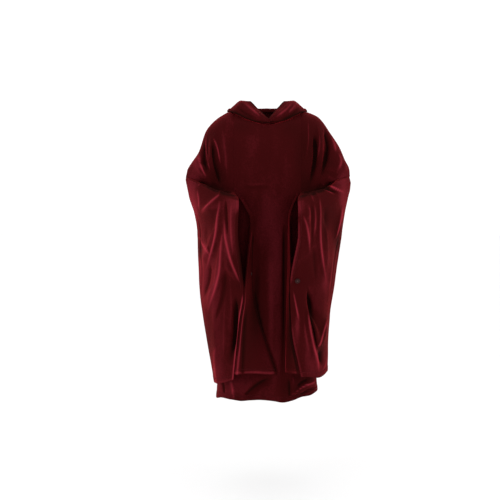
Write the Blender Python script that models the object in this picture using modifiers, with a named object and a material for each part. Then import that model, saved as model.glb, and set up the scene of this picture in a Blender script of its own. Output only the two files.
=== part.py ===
"""Hooded meditation cloak in fleece, in the hollow form it takes when worn with the forearms raised.

Blender script, metres, +Z up. The wearer faces -Y, so the wearer's right side is at -X. The origin is
the middle of the neck at shoulder height, where the cloak hangs on its wearer. Every piece of cloth is
an open surface worked out from its sections, and Solidify gives it the thickness of the fleece.
Sizes are in millimetres and become metres when a mesh is made.
"""

import math
from collections import namedtuple

import bmesh
import bpy
import numpy as np
from mathutils import Matrix, Vector

MM = 0.001

# Cloth
WALL = 2.0
GAP = 0.35
LAP = WALL + GAP
SEAM_GAP = 1.1

# Neck seam, an oval that dips at the front
NECK_HALF_WIDTH = 142.0
NECK_HALF_DEPTH = 96.5
NECK_CENTRE_Y = -1.5
NECK_BACK_Z = 8.0
NECK_DROP = 58.0
NECK_DROP_POWER = 3.86

# Seams where the sleeves meet the front and back panels
SEAM_X = 125.0
BACK_SEAM_X = 125.0

CLOTH_RED = (0.105, 0.006, 0.011, 1.0)
CLOTH_SHEEN_ROUGHNESS = 0.9
SNAP_DARK = (0.03, 0.02, 0.02, 1.0)
SNAP_GREY = (0.16, 0.15, 0.16, 1.0)

# The chest seam, shared by the front panel and the sleeves: a row for each height
Seam = namedtuple("Seam", "x y z")
CHEST_SEAM = [
    Seam(125, -88, -50),
    Seam(125, -108, -100),
    Seam(125, -117, -160),
    Seam(125, -120, -225),
    Seam(123, -121, -298),
]

# Front and back panels: a row for each section, from the neck to the long hem. Full is how square the
# section is, and turn how sharply it meets its edge: 1 is a gentle slope, and full a quarter turn
Panel = namedtuple("Panel", "steps edge_x edge_y edge_z centre_y centre_z full turn")
FRONT_PANEL = [
    Panel(2, 125, -88, -50, -113, -78, 2.6, 1.0),
    Panel(2, 125, -108, -100, -124, -112, 2.6, 1.0),
    Panel(2, 125, -117, -160, -130, -162, 2.6, 1.0),
    Panel(3, 125, -120, -225, -133, -225, 2.6, 1.0),
    Panel(3, 123, -121, -298, -134, -298, 2.6, 1.0),
    Panel(2, 139, -72, -370, -136, -370, 2.6, 1.8),
    Panel(2, 150, -10.6, -440, -139, -440, 2.5, 2.5),
    Panel(4, 164, -10.6, -650, -143, -650, 2.5, 2.5),
    Panel(4, 178, -10.6, -850, -149, -850, 2.4, 2.4),
    Panel(4, 195, -10.6, -1076, -155, -1076, 2.3, 2.3),
]
BACK_PANEL = [
    Panel(2, 127, 86, -48, 114, -40, 2.6, 1.0),
    Panel(2, 131, 109, -98, 127, -95, 2.6, 1.0),
    Panel(2, 131, 117, -160, 130, -160, 2.6, 1.0),
    Panel(2, 131, 120, -228, 132, -228, 2.6, 1.0),
    Panel(2, 131, 120, -298, 134, -298, 2.6, 1.0),
    Panel(2, 141, 72, -370, 135, -370, 2.6, 1.8),
    Panel(2, 150, -10, -440, 136, -440, 2.6, 2.6),
    Panel(3, 164, -10, -650, 144, -650, 2.6, 2.6),
    Panel(3, 178, -10, -850, 152, -850, 2.5, 2.5),
    Panel(3, 195, -10, -1076, 160, -1076, 2.4, 2.4),
]
FRONT_COLUMNS = 14
BACK_COLUMNS = 14

# Sleeves: a row for each section, from the neck seam to the hem. The edge is the chest seam at first,
# then the front of the hand slit, and below the slit it lies behind the front flap
Sleeve = namedtuple("Sleeve", "steps edge_x edge_y edge_z side_x side_y side_z back_z front_full back_full")
RIGHT_SLEEVE = [
    Sleeve(2, 125, -88, -50, 184, 0, -21, -48, 2.0, 2.0),
    Sleeve(2, 125, -108, -100, 229, -5, -68, -98, 2.2, 2.0),
    Sleeve(2, 125, -117, -160, 258, -25, -150, -160, 2.3, 1.9),
    Sleeve(3, 125, -120, -225, 300, -50, -218, -228, 2.2, 1.8),
    Sleeve(3, 123, -121, -298, 304, -78, -244, -298, 2.0, 1.8),
    Sleeve(2, 113, -192, -309, 304, -84, -250, -308, 1.6, 1.8),
    Sleeve(1, 107, -246, -314, 302.5, -89, -259, -322, 1.35, 1.8),
    Sleeve(1, 105, -284, -332, 299.5, -92, -276, -342, 1.3, 1.8),
    Sleeve(1, 106, -303, -366, 291, -95, -318, -380, 1.32, 1.8),
    Sleeve(3, 108, -300, -444, 258, -80, -444, -450, 1.5, 1.8),
    Sleeve(3, 88, -226, -646, 252, -62, -650, -655, 1.9, 1.9),
    Sleeve(3, 104, -224, -769, 240, -48, -780, -790, 2.0, 2.0),
    Sleeve(3, 126, -227, -979, 204, -38, -1014, -1014, 2.0, 2.2),
]
LEFT_SLEEVE = [
    Sleeve(2, 125, -88, -50, 190, 0, -18, -48, 2.0, 2.0),
    Sleeve(2, 125, -108, -100, 234, -5, -74, -98, 2.2, 2.0),
    Sleeve(2, 125, -117, -160, 278, -25, -146, -160, 2.3, 1.9),
    Sleeve(3, 125, -120, -225, 298, -50, -210, -228, 2.2, 1.8),
    Sleeve(3, 123, -121, -298, 300, -78, -244, -298, 2.0, 1.8),
    Sleeve(2, 113, -192, -309, 303, -84, -254, -308, 1.6, 1.8),
    Sleeve(1, 107, -246, -314, 306, -89, -267, -322, 1.35, 1.8),
    Sleeve(1, 105, -284, -332, 306, -92, -286, -342, 1.3, 1.8),
    Sleeve(1, 105, -303, -366, 299, -95, -326, -380, 1.32, 1.8),
    Sleeve(3, 105, -300, -444, 276, -80, -444, -450, 1.5, 1.8),
    Sleeve(3, 80, -226, -630, 250, -62, -640, -655, 1.9, 1.9),
    Sleeve(3, 86, -222, -790, 235, -48, -780, -790, 2.0, 2.0),
    Sleeve(3, 121, -224, -970, 231, -42, -973, -990, 2.0, 2.2),
]
SLEEVE_FRONT_COLUMNS = 24
SLEEVE_BACK_COLUMNS = 10
BACK_LIFT = LAP + 0.7
BACK_BLEND = 5
BACK_TOP_LIFT = np.array([SEAM_GAP, LAP, SEAM_GAP])

# Front flaps: each starts at the top of the hand slit and widens to its own hem. The inner edge lies on
# the front panel and the outer edge stands forward, in line with the edge of the sleeve below the slit
Flap = namedtuple("Flap", "steps z outer_x outer_y inner_x inner_lift")
RIGHT_FLAP = [
    Flap(1, -304, 118, -125, 106, 2.8),
    Flap(3, -350, 88, -140, 74, 2.8),
    Flap(2, -408, 66, -150, 50, 2.8),
    Flap(3, -560, 80, -182, 57, 2.8),
    Flap(2, -646, 88, -226, 56, 3.4),
    Flap(3, -769, 104, -224, 31, 5.0),
    Flap(4, -961, 123, -227, -31, 8.0),
]
LEFT_FLAP = [
    Flap(1, -304, 118, -125, 108, 2.5),
    Flap(3, -350, 96, -138, 86, 2.5),
    Flap(2, -408, 84, -149, 76, 2.5),
    Flap(3, -560, 86, -184, 76, 2.5),
    Flap(2, -630, 80, -226, 73, 3.2),
    Flap(3, -790, 86, -222, 70, 5.0),
    Flap(4, -958, 119, -224, 67, 8.0),
]
FLAP_COLUMNS = 6
FLAP_RIDGE = (-2.6, -1.5)
FLAP_BOW = 1.3
FLAP_LIFT = 3.2
SLIT_FOOT = 4

# Hood halves: a row for each angle of the neck seam from the front, with the points that the cloth
# passes on its way from that seam to the face opening. Past 120 degrees it is the pouch down the back
Hood = namedtuple("Hood", "steps angle low fold high edge")
HOOD = [
    Hood(0, 0, (0, -103, -41), (0, -107, -37), (0, -105, -31), (0, -99, -26)),
    Hood(2, 15, (38, -101, -38), (34, -102, -26), (27, -93, -13), (17, -78, -8)),
    Hood(3, 30, (72, -92, -28), (67, -88, -8), (55, -72, 10), (38, -50, 13)),
    Hood(3, 60, (127, -54, -2), (116, -46, 18), (92, -32, 40), (65, -18, 40)),
    Hood(3, 90, (151, -1, 4), (129, 2, 23), (99, 4, 44), (76, 8, 37)),
    Hood(2, 120, (133, 56, 13), (120, 60, 30), (102, 60, 41), (82, 50, 33)),
    Hood(2, 140, (106, 104, -8), (116, 128, -70), (112, 116, -14), (80, 84, 31)),
    Hood(2, 160, (58, 130, -42), (70, 154, -172), (66, 180, -72), (44, 132, 18)),
    Hood(2, 180, (0, 138, -54), (0, 158, -208), (0, 195, -88), (0, 150, 8)),
]
HOOD_TUCK = 4.0
HOOD_INSET = LAP + 1.2
HOOD_RISE = (6.0, 11.0)
HOOD_CLEAR = (2.0, 4.0)
HOOD_OVER = 2.4
HOOD_ROWS_PER_STEP = (1, 1, 1, 2, 3, 2)
HOOD_SEAM_X = 0.6
HOOD_LAP_X = 10.0
HOOD_UNDER = LAP + 1.7
HOOD_LAP_ANGLE = 22.0

# Folds: soft ridges and valleys, each along a line of three points as seen from the front or the back
Fold = namedtuple("Fold", "face x_top z_top x_mid z_mid x_foot z_foot width height")
RIGHT_SLEEVE_FOLDS = [
    Fold("front", -222, -75, -228, -140, -240, -205, 13, -14),
    Fold("front", -192, -80, -182, -190, -158, -335, 16, -22),
    Fold("front", -236, -110, -218, -205, -180, -320, 14, -15),
    Fold("front", -208, -80, -206, -150, -196, -235, 13, 14),
    Fold("front", -264, -150, -252, -215, -222, -275, 22, 22),
    Fold("front", -158, -335, -200, -350, -250, -372, 15, 16),
    Fold("front", -165, -370, -205, -500, -243, -580, 18, 24),
    Fold("front", -152, -430, -180, -620, -228, -750, 19, 26),
    Fold("front", -150, -430, -138, -560, -98, -640, 15, 22),
    Fold("front", -124, -660, -124, -790, -136, -920, 13, -25),
    Fold("front", -190, -600, -186, -800, -172, -1010, 20, 19),
    Fold("back", -205, -300, -215, -600, -178, -1010, 26, 22),
    Fold("back", -165, -420, -172, -700, -152, -1010, 20, -19),
]
LEFT_SLEEVE_FOLDS = [
    Fold("front", 178, -60, 184, -150, 154, -330, 16, -22),
    Fold("front", 208, -60, 218, -150, 190, -310, 14, -18),
    Fold("front", 194, -55, 200, -120, 186, -230, 13, 14),
    Fold("front", 284, -165, 270, -240, 232, -302, 32, 32),
    Fold("front", 128, -345, 138, -400, 146, -480, 14, 16),
    Fold("front", 188, -360, 200, -470, 216, -620, 18, 24),
    Fold("front", 270, -350, 262, -420, 250, -500, 15, 16),
    Fold("front", 150, -700, 165, -800, 178, -955, 18, 26),
    Fold("front", 150, -640, 164, -720, 196, -840, 16, -26),
    Fold("front", 218, -740, 208, -800, 192, -880, 15, 17),
    Fold("back", 205, -300, 218, -600, 195, -1000, 26, 22),
    Fold("back", 165, -420, 172, -700, 152, -1000, 20, -19),
]
FRONT_PANEL_FOLDS = [
    Fold("front", 70, -420, 69, -700, 62, -1082, 15, -10),
    Fold("front", -40, -420, -44, -620, -50, -760, 15, -8),
    Fold("front", -132, -980, -134, -1020, -136, -1082, 14, 9),
    Fold("front", 88, -980, 94, -1020, 98, -1082, 14, 10),
    Fold("front", 20, -985, -20, -1015, -70, -1055, 13, -8),
]
BACK_PANEL_FOLDS = [
    Fold("back", -62, -260, -70, -600, -82, -1082, 22, 12),
    Fold("back", 48, -300, 60, -650, 70, -1082, 22, 12),
    Fold("back", -6, -420, -4, -700, -8, -1082, 22, -11),
]
FOLD_FADE = 0.4

# Dips: places along a hem where the cloth hangs lower, or is caught up where the drop is below nought
Dip = namedtuple("Dip", "x width drop")
TUNIC_DIPS = [
    Dip(-198, 17, 15), Dip(-100, 22, 3), Dip(-28, 36, -4), Dip(60, 26, 8), Dip(132, 30, -9), Dip(196, 36, -16),
]
LEFT_SLEEVE_DIPS = [Dip(190, 26, 9)]
RIGHT_FLAP_DIPS = [Dip(22, 55, 12)]
LEFT_FLAP_DIPS = [Dip(66, 34, 11)]
HEM_REACH = 170.0

TUNIC_HEM_Z = -1076
SLEEVE_HEM_Z = -1000

# Press stud on the left sleeve beside the slit foot, and its open other half on the right flap
SNAP_RADIUS = 9.5
SNAP_HEIGHT = 2.6
SNAP_RIM = 0.8
SNAP_X = 106.0
SNAP_Z = -618.0
SOCKET_RADIUS = 6.0
SOCKET_HEIGHT = 2.0
SOCKET_X = -62.0
SOCKET_Z = -596.0
SNAP_SIDES = 32
SEAT_STEPS = 8


def clear_scene():
    """Removes what the scene starts with."""
    for obj in list(bpy.data.objects):
        bpy.data.objects.remove(obj, do_unlink=True)


def new_collection(name):
    collection = bpy.data.collections.new(name)
    bpy.context.scene.collection.children.link(collection)
    return collection


def new_material(name, colour, roughness, metallic=0.0):
    material = bpy.data.materials.new(name)
    material.use_nodes = True
    shader = material.node_tree.nodes["Principled BSDF"]
    shader.inputs["Base Color"].default_value = colour
    shader.inputs["Roughness"].default_value = roughness
    shader.inputs["Metallic"].default_value = metallic
    return material


def stops(steps):
    """The places where a surface is sampled, in rows of its table: each stretch is split into its steps."""
    places = [0.0]
    for row, count in enumerate(steps):
        places += [row + (i + 1) / count for i in range(count)]
    return np.array(places)


def smooth(values, places):
    """Curve through the table's values that never swings past them, read at places counted in rows."""
    values = np.asarray(values, float)
    rise = np.diff(values, axis=0)
    slope = np.zeros_like(values)
    slope[0], slope[-1] = rise[0], rise[-1]
    same = rise[1:] * rise[:-1] > 0
    total = np.where(same, rise[1:] + rise[:-1], 1.0)
    slope[1:-1] = np.where(same, 2 * rise[1:] * rise[:-1] / total, 0.0)
    row = np.clip(np.floor(places).astype(int), 0, len(values) - 2)
    t = (places - row).reshape((-1,) + (1,) * (values.ndim - 1))
    start = (1 + 2 * t) * (1 - t) ** 2 * values[row] + t * (1 - t) ** 2 * slope[row]
    end = t * t * (3 - 2 * t) * values[row + 1] + t * t * (t - 1) * slope[row + 1]
    return start + end


def neck_point(angle):
    """Point of the neck seam, by the angle from the front towards the wearer's left."""
    dip = ((1 + math.cos(angle)) / 2) ** NECK_DROP_POWER
    return np.array([
        NECK_HALF_WIDTH * math.sin(angle),
        NECK_CENTRE_Y - NECK_HALF_DEPTH * math.cos(angle),
        NECK_BACK_Z - NECK_DROP * dip,
    ])


def neck_angle(x, behind=False):
    """Angle at which the neck seam passes a distance x from the middle."""
    angle = math.asin(x / NECK_HALF_WIDTH)
    return math.pi - angle if behind else angle


def quarter(count):
    """Shares of a quarter turn, closer together at its two ends."""
    return np.linspace(0.0, math.pi / 2, count + 1)


def rounded(start, end, full, turn, angle):
    """Section from start, square to the middle, round to end: full 2 is an oval, 1 a straight line."""
    across = np.sin(angle) ** (2 / full)
    ahead = np.clip(1 - across**full, 0, 1) ** (1 / turn)
    x = start[0] + (end[0] - start[0]) * across
    y = end[1] + (start[1] - end[1]) * ahead
    z = start[2] + (end[2] - start[2]) * across
    return np.stack([x, y, z], axis=-1)


def panel_grid(table, columns, behind):
    """Surface of the front or back panel, from its right edge to its left one. The neck seam is its top."""
    top_edge = neck_point(neck_angle(SEAM_X, behind))
    top_centre = neck_point(math.pi if behind else 0.0)
    places = stops([r.steps for r in table])
    edge = smooth([top_edge] + [(r.edge_x, r.edge_y, r.edge_z) for r in table], places)
    centre = smooth([top_centre] + [(0.0, r.centre_y, r.centre_z) for r in table], places)
    shape = smooth([[2.0, 1.0]] + [[r.full, r.turn] for r in table], places)
    half = [rounded(c, e, f, t, quarter(columns // 2)) for e, c, (f, t) in zip(edge, centre, shape)]
    half = np.array(half)
    half[0] = [neck_point(neck_angle(x, behind)) for x in half[0][:, 0]]
    left = half.copy()
    left[:, 1:, 0] -= SEAM_GAP / 2
    right = left[:, :0:-1] * [-1, 1, 1]
    return np.concatenate([right, left], axis=1)


def point_on(grid, x, z, lift=0.0):
    """Point of a panel at a place seen from the front, moved out from its surface by lift."""
    raised = grid + outward_normals(grid) * lift
    line = []
    for row in raised:
        order = np.argsort(row[:, 0])
        line.append([np.interp(x, row[order, 0], row[order, axis]) for axis in (1, 2)])
    line = np.array(line)[::-1]
    return np.array([x, np.interp(z, line[:, 1], line[:, 0]), z])


def sleeve_rails(table, back_grid, side):
    """The lines that a sleeve hangs from: its front edge, its side and its back edge, with the fullness."""
    places = stops([r.steps for r in table])
    seam_rows = len(CHEST_SEAM)
    seam = [neck_point(neck_angle(SEAM_X))] + [(r.x, r.y, r.z) for r in CHEST_SEAM]
    slit = [(r.edge_x, r.edge_y, r.edge_z) for r in table[seam_rows - 1:]]
    upper = smooth(seam, places[places <= seam_rows])
    lower = smooth(slit, places[places > seam_rows] - seam_rows)
    edge = np.concatenate([upper, lower])
    edge[:, 0] += SEAM_GAP / 2
    flank = smooth([neck_point(math.pi / 2)] + [(r.side_x, r.side_y, r.side_z) for r in table], places)
    back_top = neck_point(neck_angle(BACK_SEAM_X, True))
    back_z = smooth([[back_top[2]]] + [[r.back_z] for r in table], places)[:, 0]
    back = np.array([point_on(back_grid, side * BACK_SEAM_X, z, BACK_LIFT) for z in back_z])
    back[:, 0] = abs(back[:, 0])
    back[0] = back_top
    full = smooth([[2.0, 2.0]] + [[r.front_full, r.back_full] for r in table], places)
    return edge, flank, back, full


def sleeve_grid(table, back_grid, side):
    """Surface of a sleeve, from its front edge round the arm to the seam on the back panel."""
    edge, flank, back, full = sleeve_rails(table, back_grid, side)
    rows = []
    for e, s, b, f in zip(edge, flank, back, full):
        front = rounded(e, s, f[0], f[0], quarter(SLEEVE_FRONT_COLUMNS))
        behind = rounded(b, s, f[1], f[1], quarter(SLEEVE_BACK_COLUMNS))[::-1]
        rows.append(np.concatenate([front, behind[1:]]))
    grid = np.array(rows)
    ends = (neck_angle(SEAM_X), math.pi / 2, neck_angle(BACK_SEAM_X, True))
    angles = np.append(
        np.linspace(ends[0], ends[1], SLEEVE_FRONT_COLUMNS + 1),
        np.linspace(ends[1], ends[2], SLEEVE_BACK_COLUMNS + 1)[1:],
    )
    near_back = np.clip(np.arange(len(angles)) - len(angles) + BACK_BLEND, 0, None) / (BACK_BLEND - 1)
    grid[0, 1:] = [neck_point(angle) for angle in angles[1:]] + near_back[1:, None] * BACK_TOP_LIFT
    grid[:, :, 0] *= side
    return grid


def flap_grid(table, panel, sleeve_edge, side):
    """Surface of a front flap: its inner edge lies on the panel, and its outer one stands forward.

    Below the hand slit the outer edge follows the edge of the sleeve.
    """
    rows = [(r.z, r.outer_x, r.outer_y, r.inner_x, r.inner_lift) for r in table]
    rows = smooth(rows, stops([r.steps for r in table[1:]]))
    share = np.linspace(0.0, 1.0, FLAP_COLUMNS + 1)
    grid = []
    for z, outer_x, outer_y, inner_x, lift in rows:
        if z < table[SLIT_FOOT].z:
            outer_x, outer_y = (np.interp(-z, -sleeve_edge[:, 2], sleeve_edge[:, axis]) for axis in (0, 1))
        outer_x, outer_y = outer_x + FLAP_RIDGE[0], outer_y + FLAP_RIDGE[1]
        inner_y = point_on(panel, side * inner_x, z, lift)[1]
        x = outer_x + (inner_x - outer_x) * share
        y = outer_y + (inner_y - outer_y) * share**FLAP_BOW
        on_panel = [point_on(panel, side * place, z, FLAP_LIFT)[1] for place in x]
        grid.append(np.stack([side * x, np.minimum(y, on_panel), np.full_like(x, z)], axis=-1))
    return np.array(grid)


def hood_grid(side, lap):
    """Surface of half the hood, from its end at the front round to the seam at the middle of the back."""
    points = []
    for row in HOOD:
        angle = math.radians(row.angle)
        outward = np.array([math.sin(angle), -math.cos(angle), 0.0])
        seam = neck_point(angle)
        behind = row.angle / HOOD[-1].angle
        base = seam - outward * HOOD_INSET - [0, 0, HOOD_TUCK]
        clear = HOOD_CLEAR[0] + (HOOD_CLEAR[1] - HOOD_CLEAR[0]) * behind
        over = seam - outward * HOOD_INSET + [0, 0, HOOD_OVER]
        rise = HOOD_RISE[0] + (HOOD_RISE[1] - HOOD_RISE[0]) * behind
        lifted = seam + outward * clear + [0, 0, rise]
        points.append([base, over, lifted, row.low, row.fold, row.high, row.edge])
    net = smooth(np.array(points, float), stops([row.steps for row in HOOD[1:]]))
    grid = smooth(net.transpose(1, 0, 2), stops(HOOD_ROWS_PER_STEP))
    angles = smooth([[row.angle] for row in HOOD], stops([row.steps for row in HOOD[1:]]))[:, 0]
    near_front = np.clip(1 - angles / HOOD_LAP_ANGLE, 0, 1)
    share = np.linspace(1.0, 0.2, len(grid))[:, None]
    under = (1 - lap) * HOOD_UNDER * near_front**0.4
    grid -= outward_normals(grid) * under[:, None]
    grid[:, :, 0] += np.where(near_front > 0, GAP, 0.0) * (1 - lap)
    grid[:, :, 0] -= lap * HOOD_LAP_X * near_front ** 2 * share
    grid[:, -1, 0] = HOOD_SEAM_X
    grid[:, :, 0] *= side
    return grid


def outward_normals(grid):
    """Direction square to a surface at each of its points, away from the middle of the cloak."""
    along = np.gradient(grid, axis=1)
    down = np.gradient(grid, axis=0)
    normal = np.cross(along, down)
    normal = normal / np.maximum(np.linalg.norm(normal, axis=2, keepdims=True), 1e-9)
    away = (normal[:, :, :2] * grid[:, :, :2]).sum()
    return normal * math.copysign(1.0, away)


def line_distance(x, z, fold):
    """Distance from a fold's line as seen from the front, and how far along it the nearest place is."""
    points = np.array([(fold.x_top, fold.z_top), (fold.x_mid, fold.z_mid), (fold.x_foot, fold.z_foot)], float)
    best = np.full(x.shape, 1e9)
    along = np.zeros(x.shape)
    for piece in range(2):
        start, run = points[piece], points[piece + 1] - points[piece]
        share = np.clip(((x - start[0]) * run[0] + (z - start[1]) * run[1]) / run.dot(run), 0, 1)
        distance = np.hypot(x - start[0] - share * run[0], z - start[1] - share * run[1])
        nearer = distance < best
        best = np.where(nearer, distance, best)
        along = np.where(nearer, (piece + share) / 2, along)
    return best, along


def folded(grid, folds, hem_z, fixed_columns):
    """Surface with its folds raised along its own outward direction. Fixed columns keep their seams."""
    normal = outward_normals(grid)
    raised = np.zeros(grid.shape[:2])
    for fold in folds:
        distance, along = line_distance(grid[:, :, 0], grid[:, :, 2], fold)
        facing = np.clip(normal[:, :, 1] * (1 if fold.face == "back" else -1) * 2.0, 0, 1)
        fade = ease(along / FOLD_FADE)
        if fold.z_foot > hem_z + 30:
            fade = fade * ease((1 - along) / FOLD_FADE)
        raised += fold.height * np.exp(-((distance / fold.width) ** 2)) * facing * fade
    for column in fixed_columns:
        raised[:, column] = 0.0
    raised[0] = 0.0
    return grid + normal * raised[:, :, None]


def ease(share):
    """Share from nought to one, with a soft start and a soft end."""
    share = np.clip(share, 0, 1)
    return share * share * (3 - 2 * share)


def hung(grid, dips):
    """Surface whose hem hangs unevenly: each dip fades out up the cloth."""
    above = grid[:, :, 2] - grid[-1:, :, 2]
    near = np.clip(1 - above / HEM_REACH, 0, 1) ** 2
    foot = grid[-1, :, 0]
    drop = sum(dip.drop * np.exp(-(((foot - dip.x) / dip.width) ** 2)) for dip in dips)
    lowered = grid.copy()
    lowered[:, :, 2] -= near * drop
    return lowered


def cloth(name, grid, collection, material):
    """Mesh object for a surface given as rows of points, thickened to the wall of the cloth."""
    mesh = bpy.data.meshes.new(name)
    shape = bmesh.new()
    verts = [[shape.verts.new(Vector(point) * MM) for point in row] for row in grid]
    for upper, lower in zip(verts[:-1], verts[1:]):
        for column in range(len(upper) - 1):
            shape.faces.new((upper[column], lower[column], lower[column + 1], upper[column + 1]))
    bmesh.ops.recalc_face_normals(shape, faces=shape.faces)
    shape.to_mesh(mesh)
    shape.free()
    mesh.materials.append(material)
    mesh.shade_smooth()
    obj = bpy.data.objects.new(name, mesh)
    collection.objects.link(obj)
    wall = obj.modifiers.new("wall", "SOLIDIFY")
    wall.thickness = WALL * MM
    wall.offset = 0.0
    return obj


def finer(grid, steps):
    """Surface sampled between its points, along the flat faces of its mesh."""
    for axis in (0, 1):
        count = grid.shape[axis]
        places = np.linspace(0, count - 1, (count - 1) * steps + 1)
        low = np.clip(np.floor(places).astype(int), 0, count - 2)
        share = (places - low).reshape((-1, 1, 1) if axis == 0 else (1, -1, 1))
        grid = np.take(grid, low, axis) * (1 - share) + np.take(grid, low + 1, axis) * share
    return grid


def seat_on(grid, x, z, radius):
    """Place and direction on a surface for a round piece, with the height that clears the surface."""
    grid = finer(grid, SEAT_STEPS)
    normal = outward_normals(grid)
    distance = np.hypot(grid[:, :, 0] - x, grid[:, :, 2] - z) + np.where(normal[:, :, 1] < -0.1, 0, 1e6)
    row, column = np.unravel_index(np.argmin(distance), distance.shape)
    centre, direction = grid[row, column], normal[row, column]
    offset = grid - centre
    height = offset @ direction
    beside = np.linalg.norm(offset - height[:, :, None] * direction, axis=2)
    under = (beside < radius + WALL) & (abs(height) < radius)
    return centre, direction, height[under].max() + WALL / 2 + GAP


def stud(name, centre, direction, lift, radius, height, collection, material):
    """Round press stud with a bevelled rim and a dished middle."""
    mesh = bpy.data.meshes.new(name)
    shape = bmesh.new()
    wide, thick = radius * MM, height * MM
    bmesh.ops.create_cone(
        shape, cap_ends=True, segments=SNAP_SIDES, radius1=wide, radius2=wide, depth=thick,
    )
    bmesh.ops.translate(shape, verts=shape.verts, vec=(0, 0, lift * MM + thick / 2))
    crown = max(shape.faces, key=lambda face: face.calc_center_median().z)
    rim = list(crown.edges)
    bmesh.ops.inset_region(shape, faces=[crown], thickness=wide * 0.42)
    bmesh.ops.translate(shape, verts=crown.verts, vec=(0, 0, -thick * 0.35))
    bmesh.ops.bevel(
        shape, geom=rim, offset=SNAP_RIM * MM, segments=2, profile=0.5, affect="EDGES", material=-1,
    )
    shape.to_mesh(mesh)
    shape.free()
    mesh.materials.append(material)
    obj = bpy.data.objects.new(name, mesh)
    collection.objects.link(obj)
    turn = Vector(direction).to_track_quat("Z", "Y").to_matrix().to_4x4()
    obj.matrix_world = Matrix.Translation(Vector(centre) * MM) @ turn
    return obj


def main():
    clear_scene()
    cloak = new_collection("meditation hooded cloak")
    red = {name: new_material(f"{name}_fleece", CLOTH_RED, CLOTH_SHEEN_ROUGHNESS) for name in (
        "front_panel", "back_panel", "right_sleeve", "left_sleeve",
        "right_front_flap", "left_front_flap", "hood_right", "hood_left",
    )}

    front = panel_grid(FRONT_PANEL, FRONT_COLUMNS, behind=False)
    back = panel_grid(BACK_PANEL, BACK_COLUMNS, behind=True)
    front = folded(front, FRONT_PANEL_FOLDS, TUNIC_HEM_Z, (0, -1))
    back = folded(back, BACK_PANEL_FOLDS, TUNIC_HEM_Z, (0, 1, 2, -3, -2, -1))
    right_sleeve = folded(sleeve_grid(RIGHT_SLEEVE, back, -1), RIGHT_SLEEVE_FOLDS, SLEEVE_HEM_Z, (0, -2, -1))
    left_sleeve = folded(sleeve_grid(LEFT_SLEEVE, back, 1), LEFT_SLEEVE_FOLDS, SLEEVE_HEM_Z, (0, -2, -1))
    right_flap = flap_grid(RIGHT_FLAP, front, sleeve_rails(RIGHT_SLEEVE, back, -1)[0], -1)
    left_flap = flap_grid(LEFT_FLAP, front, sleeve_rails(LEFT_SLEEVE, back, 1)[0], 1)

    cloth("front_panel", hung(front, TUNIC_DIPS), cloak, red["front_panel"])
    cloth("back_panel", hung(back, TUNIC_DIPS), cloak, red["back_panel"])
    cloth("right_sleeve", right_sleeve, cloak, red["right_sleeve"])
    cloth("left_sleeve", hung(left_sleeve, LEFT_SLEEVE_DIPS), cloak, red["left_sleeve"])
    cloth("right_front_flap", hung(right_flap, RIGHT_FLAP_DIPS), cloak, red["right_front_flap"])
    cloth("left_front_flap", hung(left_flap, LEFT_FLAP_DIPS), cloak, red["left_front_flap"])
    cloth("hood_right", hood_grid(-1, 1), cloak, red["hood_right"])
    cloth("hood_left", hood_grid(1, 0), cloak, red["hood_left"])

    dark = new_material("left_snap_metal", SNAP_DARK, 0.4, 0.6)
    grey = new_material("right_snap_metal", SNAP_GREY, 0.4, 0.6)
    place = seat_on(left_sleeve, SNAP_X, SNAP_Z, SNAP_RADIUS)
    stud("left_snap", *place, SNAP_RADIUS, SNAP_HEIGHT, cloak, dark)
    place = seat_on(right_flap, SOCKET_X, SOCKET_Z, SOCKET_RADIUS)
    stud("right_snap", *place, SOCKET_RADIUS, SOCKET_HEIGHT, cloak, grey)


main()
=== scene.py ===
"""Looks of the hooded meditation cloak: fleece with its folds, hems, seams, stitching and press stud.

The surfaces follow the sections of the CAD solids in millimetres, sampled finely, and take on the
smaller creases here. +Z is up, the front faces -Y and the cloak's own left is at +X.
"""

import math
from collections import namedtuple

import bmesh
import bpy
import numpy as np
from mathutils import Matrix, Vector, noise


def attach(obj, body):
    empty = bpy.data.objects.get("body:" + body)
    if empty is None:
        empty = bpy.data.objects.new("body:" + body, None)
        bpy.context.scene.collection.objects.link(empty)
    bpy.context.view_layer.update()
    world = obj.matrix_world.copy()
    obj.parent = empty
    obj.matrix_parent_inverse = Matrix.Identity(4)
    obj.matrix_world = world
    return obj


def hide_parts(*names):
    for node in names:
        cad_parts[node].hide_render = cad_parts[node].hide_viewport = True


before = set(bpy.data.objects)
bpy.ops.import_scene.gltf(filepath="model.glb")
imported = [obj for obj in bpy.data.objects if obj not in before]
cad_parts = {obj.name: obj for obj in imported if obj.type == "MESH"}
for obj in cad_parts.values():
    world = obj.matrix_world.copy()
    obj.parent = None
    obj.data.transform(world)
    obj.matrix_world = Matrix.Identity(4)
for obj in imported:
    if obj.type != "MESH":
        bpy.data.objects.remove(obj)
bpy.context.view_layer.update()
MM = 0.001

# Cloth, its hems and its seams
WALL = 2.0
LAP = 2.35
SEAM_GAP = 0.2
SEAM_DEPTH = 0.35
SEAM_WIDTH = 3.5
HEM_DEPTH = 18.0
HEM_SWELL = 0.9
HEM_TURN = (1.0, 3.0)
GROOVE_DEPTH = 1.3
GROOVE_WIDTH = 2.2
ROW_PITCH = 5.2
HEM_ROWS = (1.0, 2.5, 5, 9, 12.5, 15, 16.5, 17.3, 18.0, 18.7, 19.6, 21, 24)

# Neck seam, an oval that dips at the front
NECK_HALF_WIDTH = 142.0
NECK_HALF_DEPTH = 96.5
NECK_CENTRE_Y = -1.5
NECK_BACK_Z = 8.0
NECK_DROP = 58.0
NECK_DROP_POWER = 3.86
SEAM_X = 125.0
BACK_SEAM_X = 125.0

# The chest seam, from under the neck to where the sleeve leaves the panel
CHEST_SEAM = [(125, -88, -50), (125, -108, -100), (125, -117, -160), (125, -120, -225), (123, -121, -298)]

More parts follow.
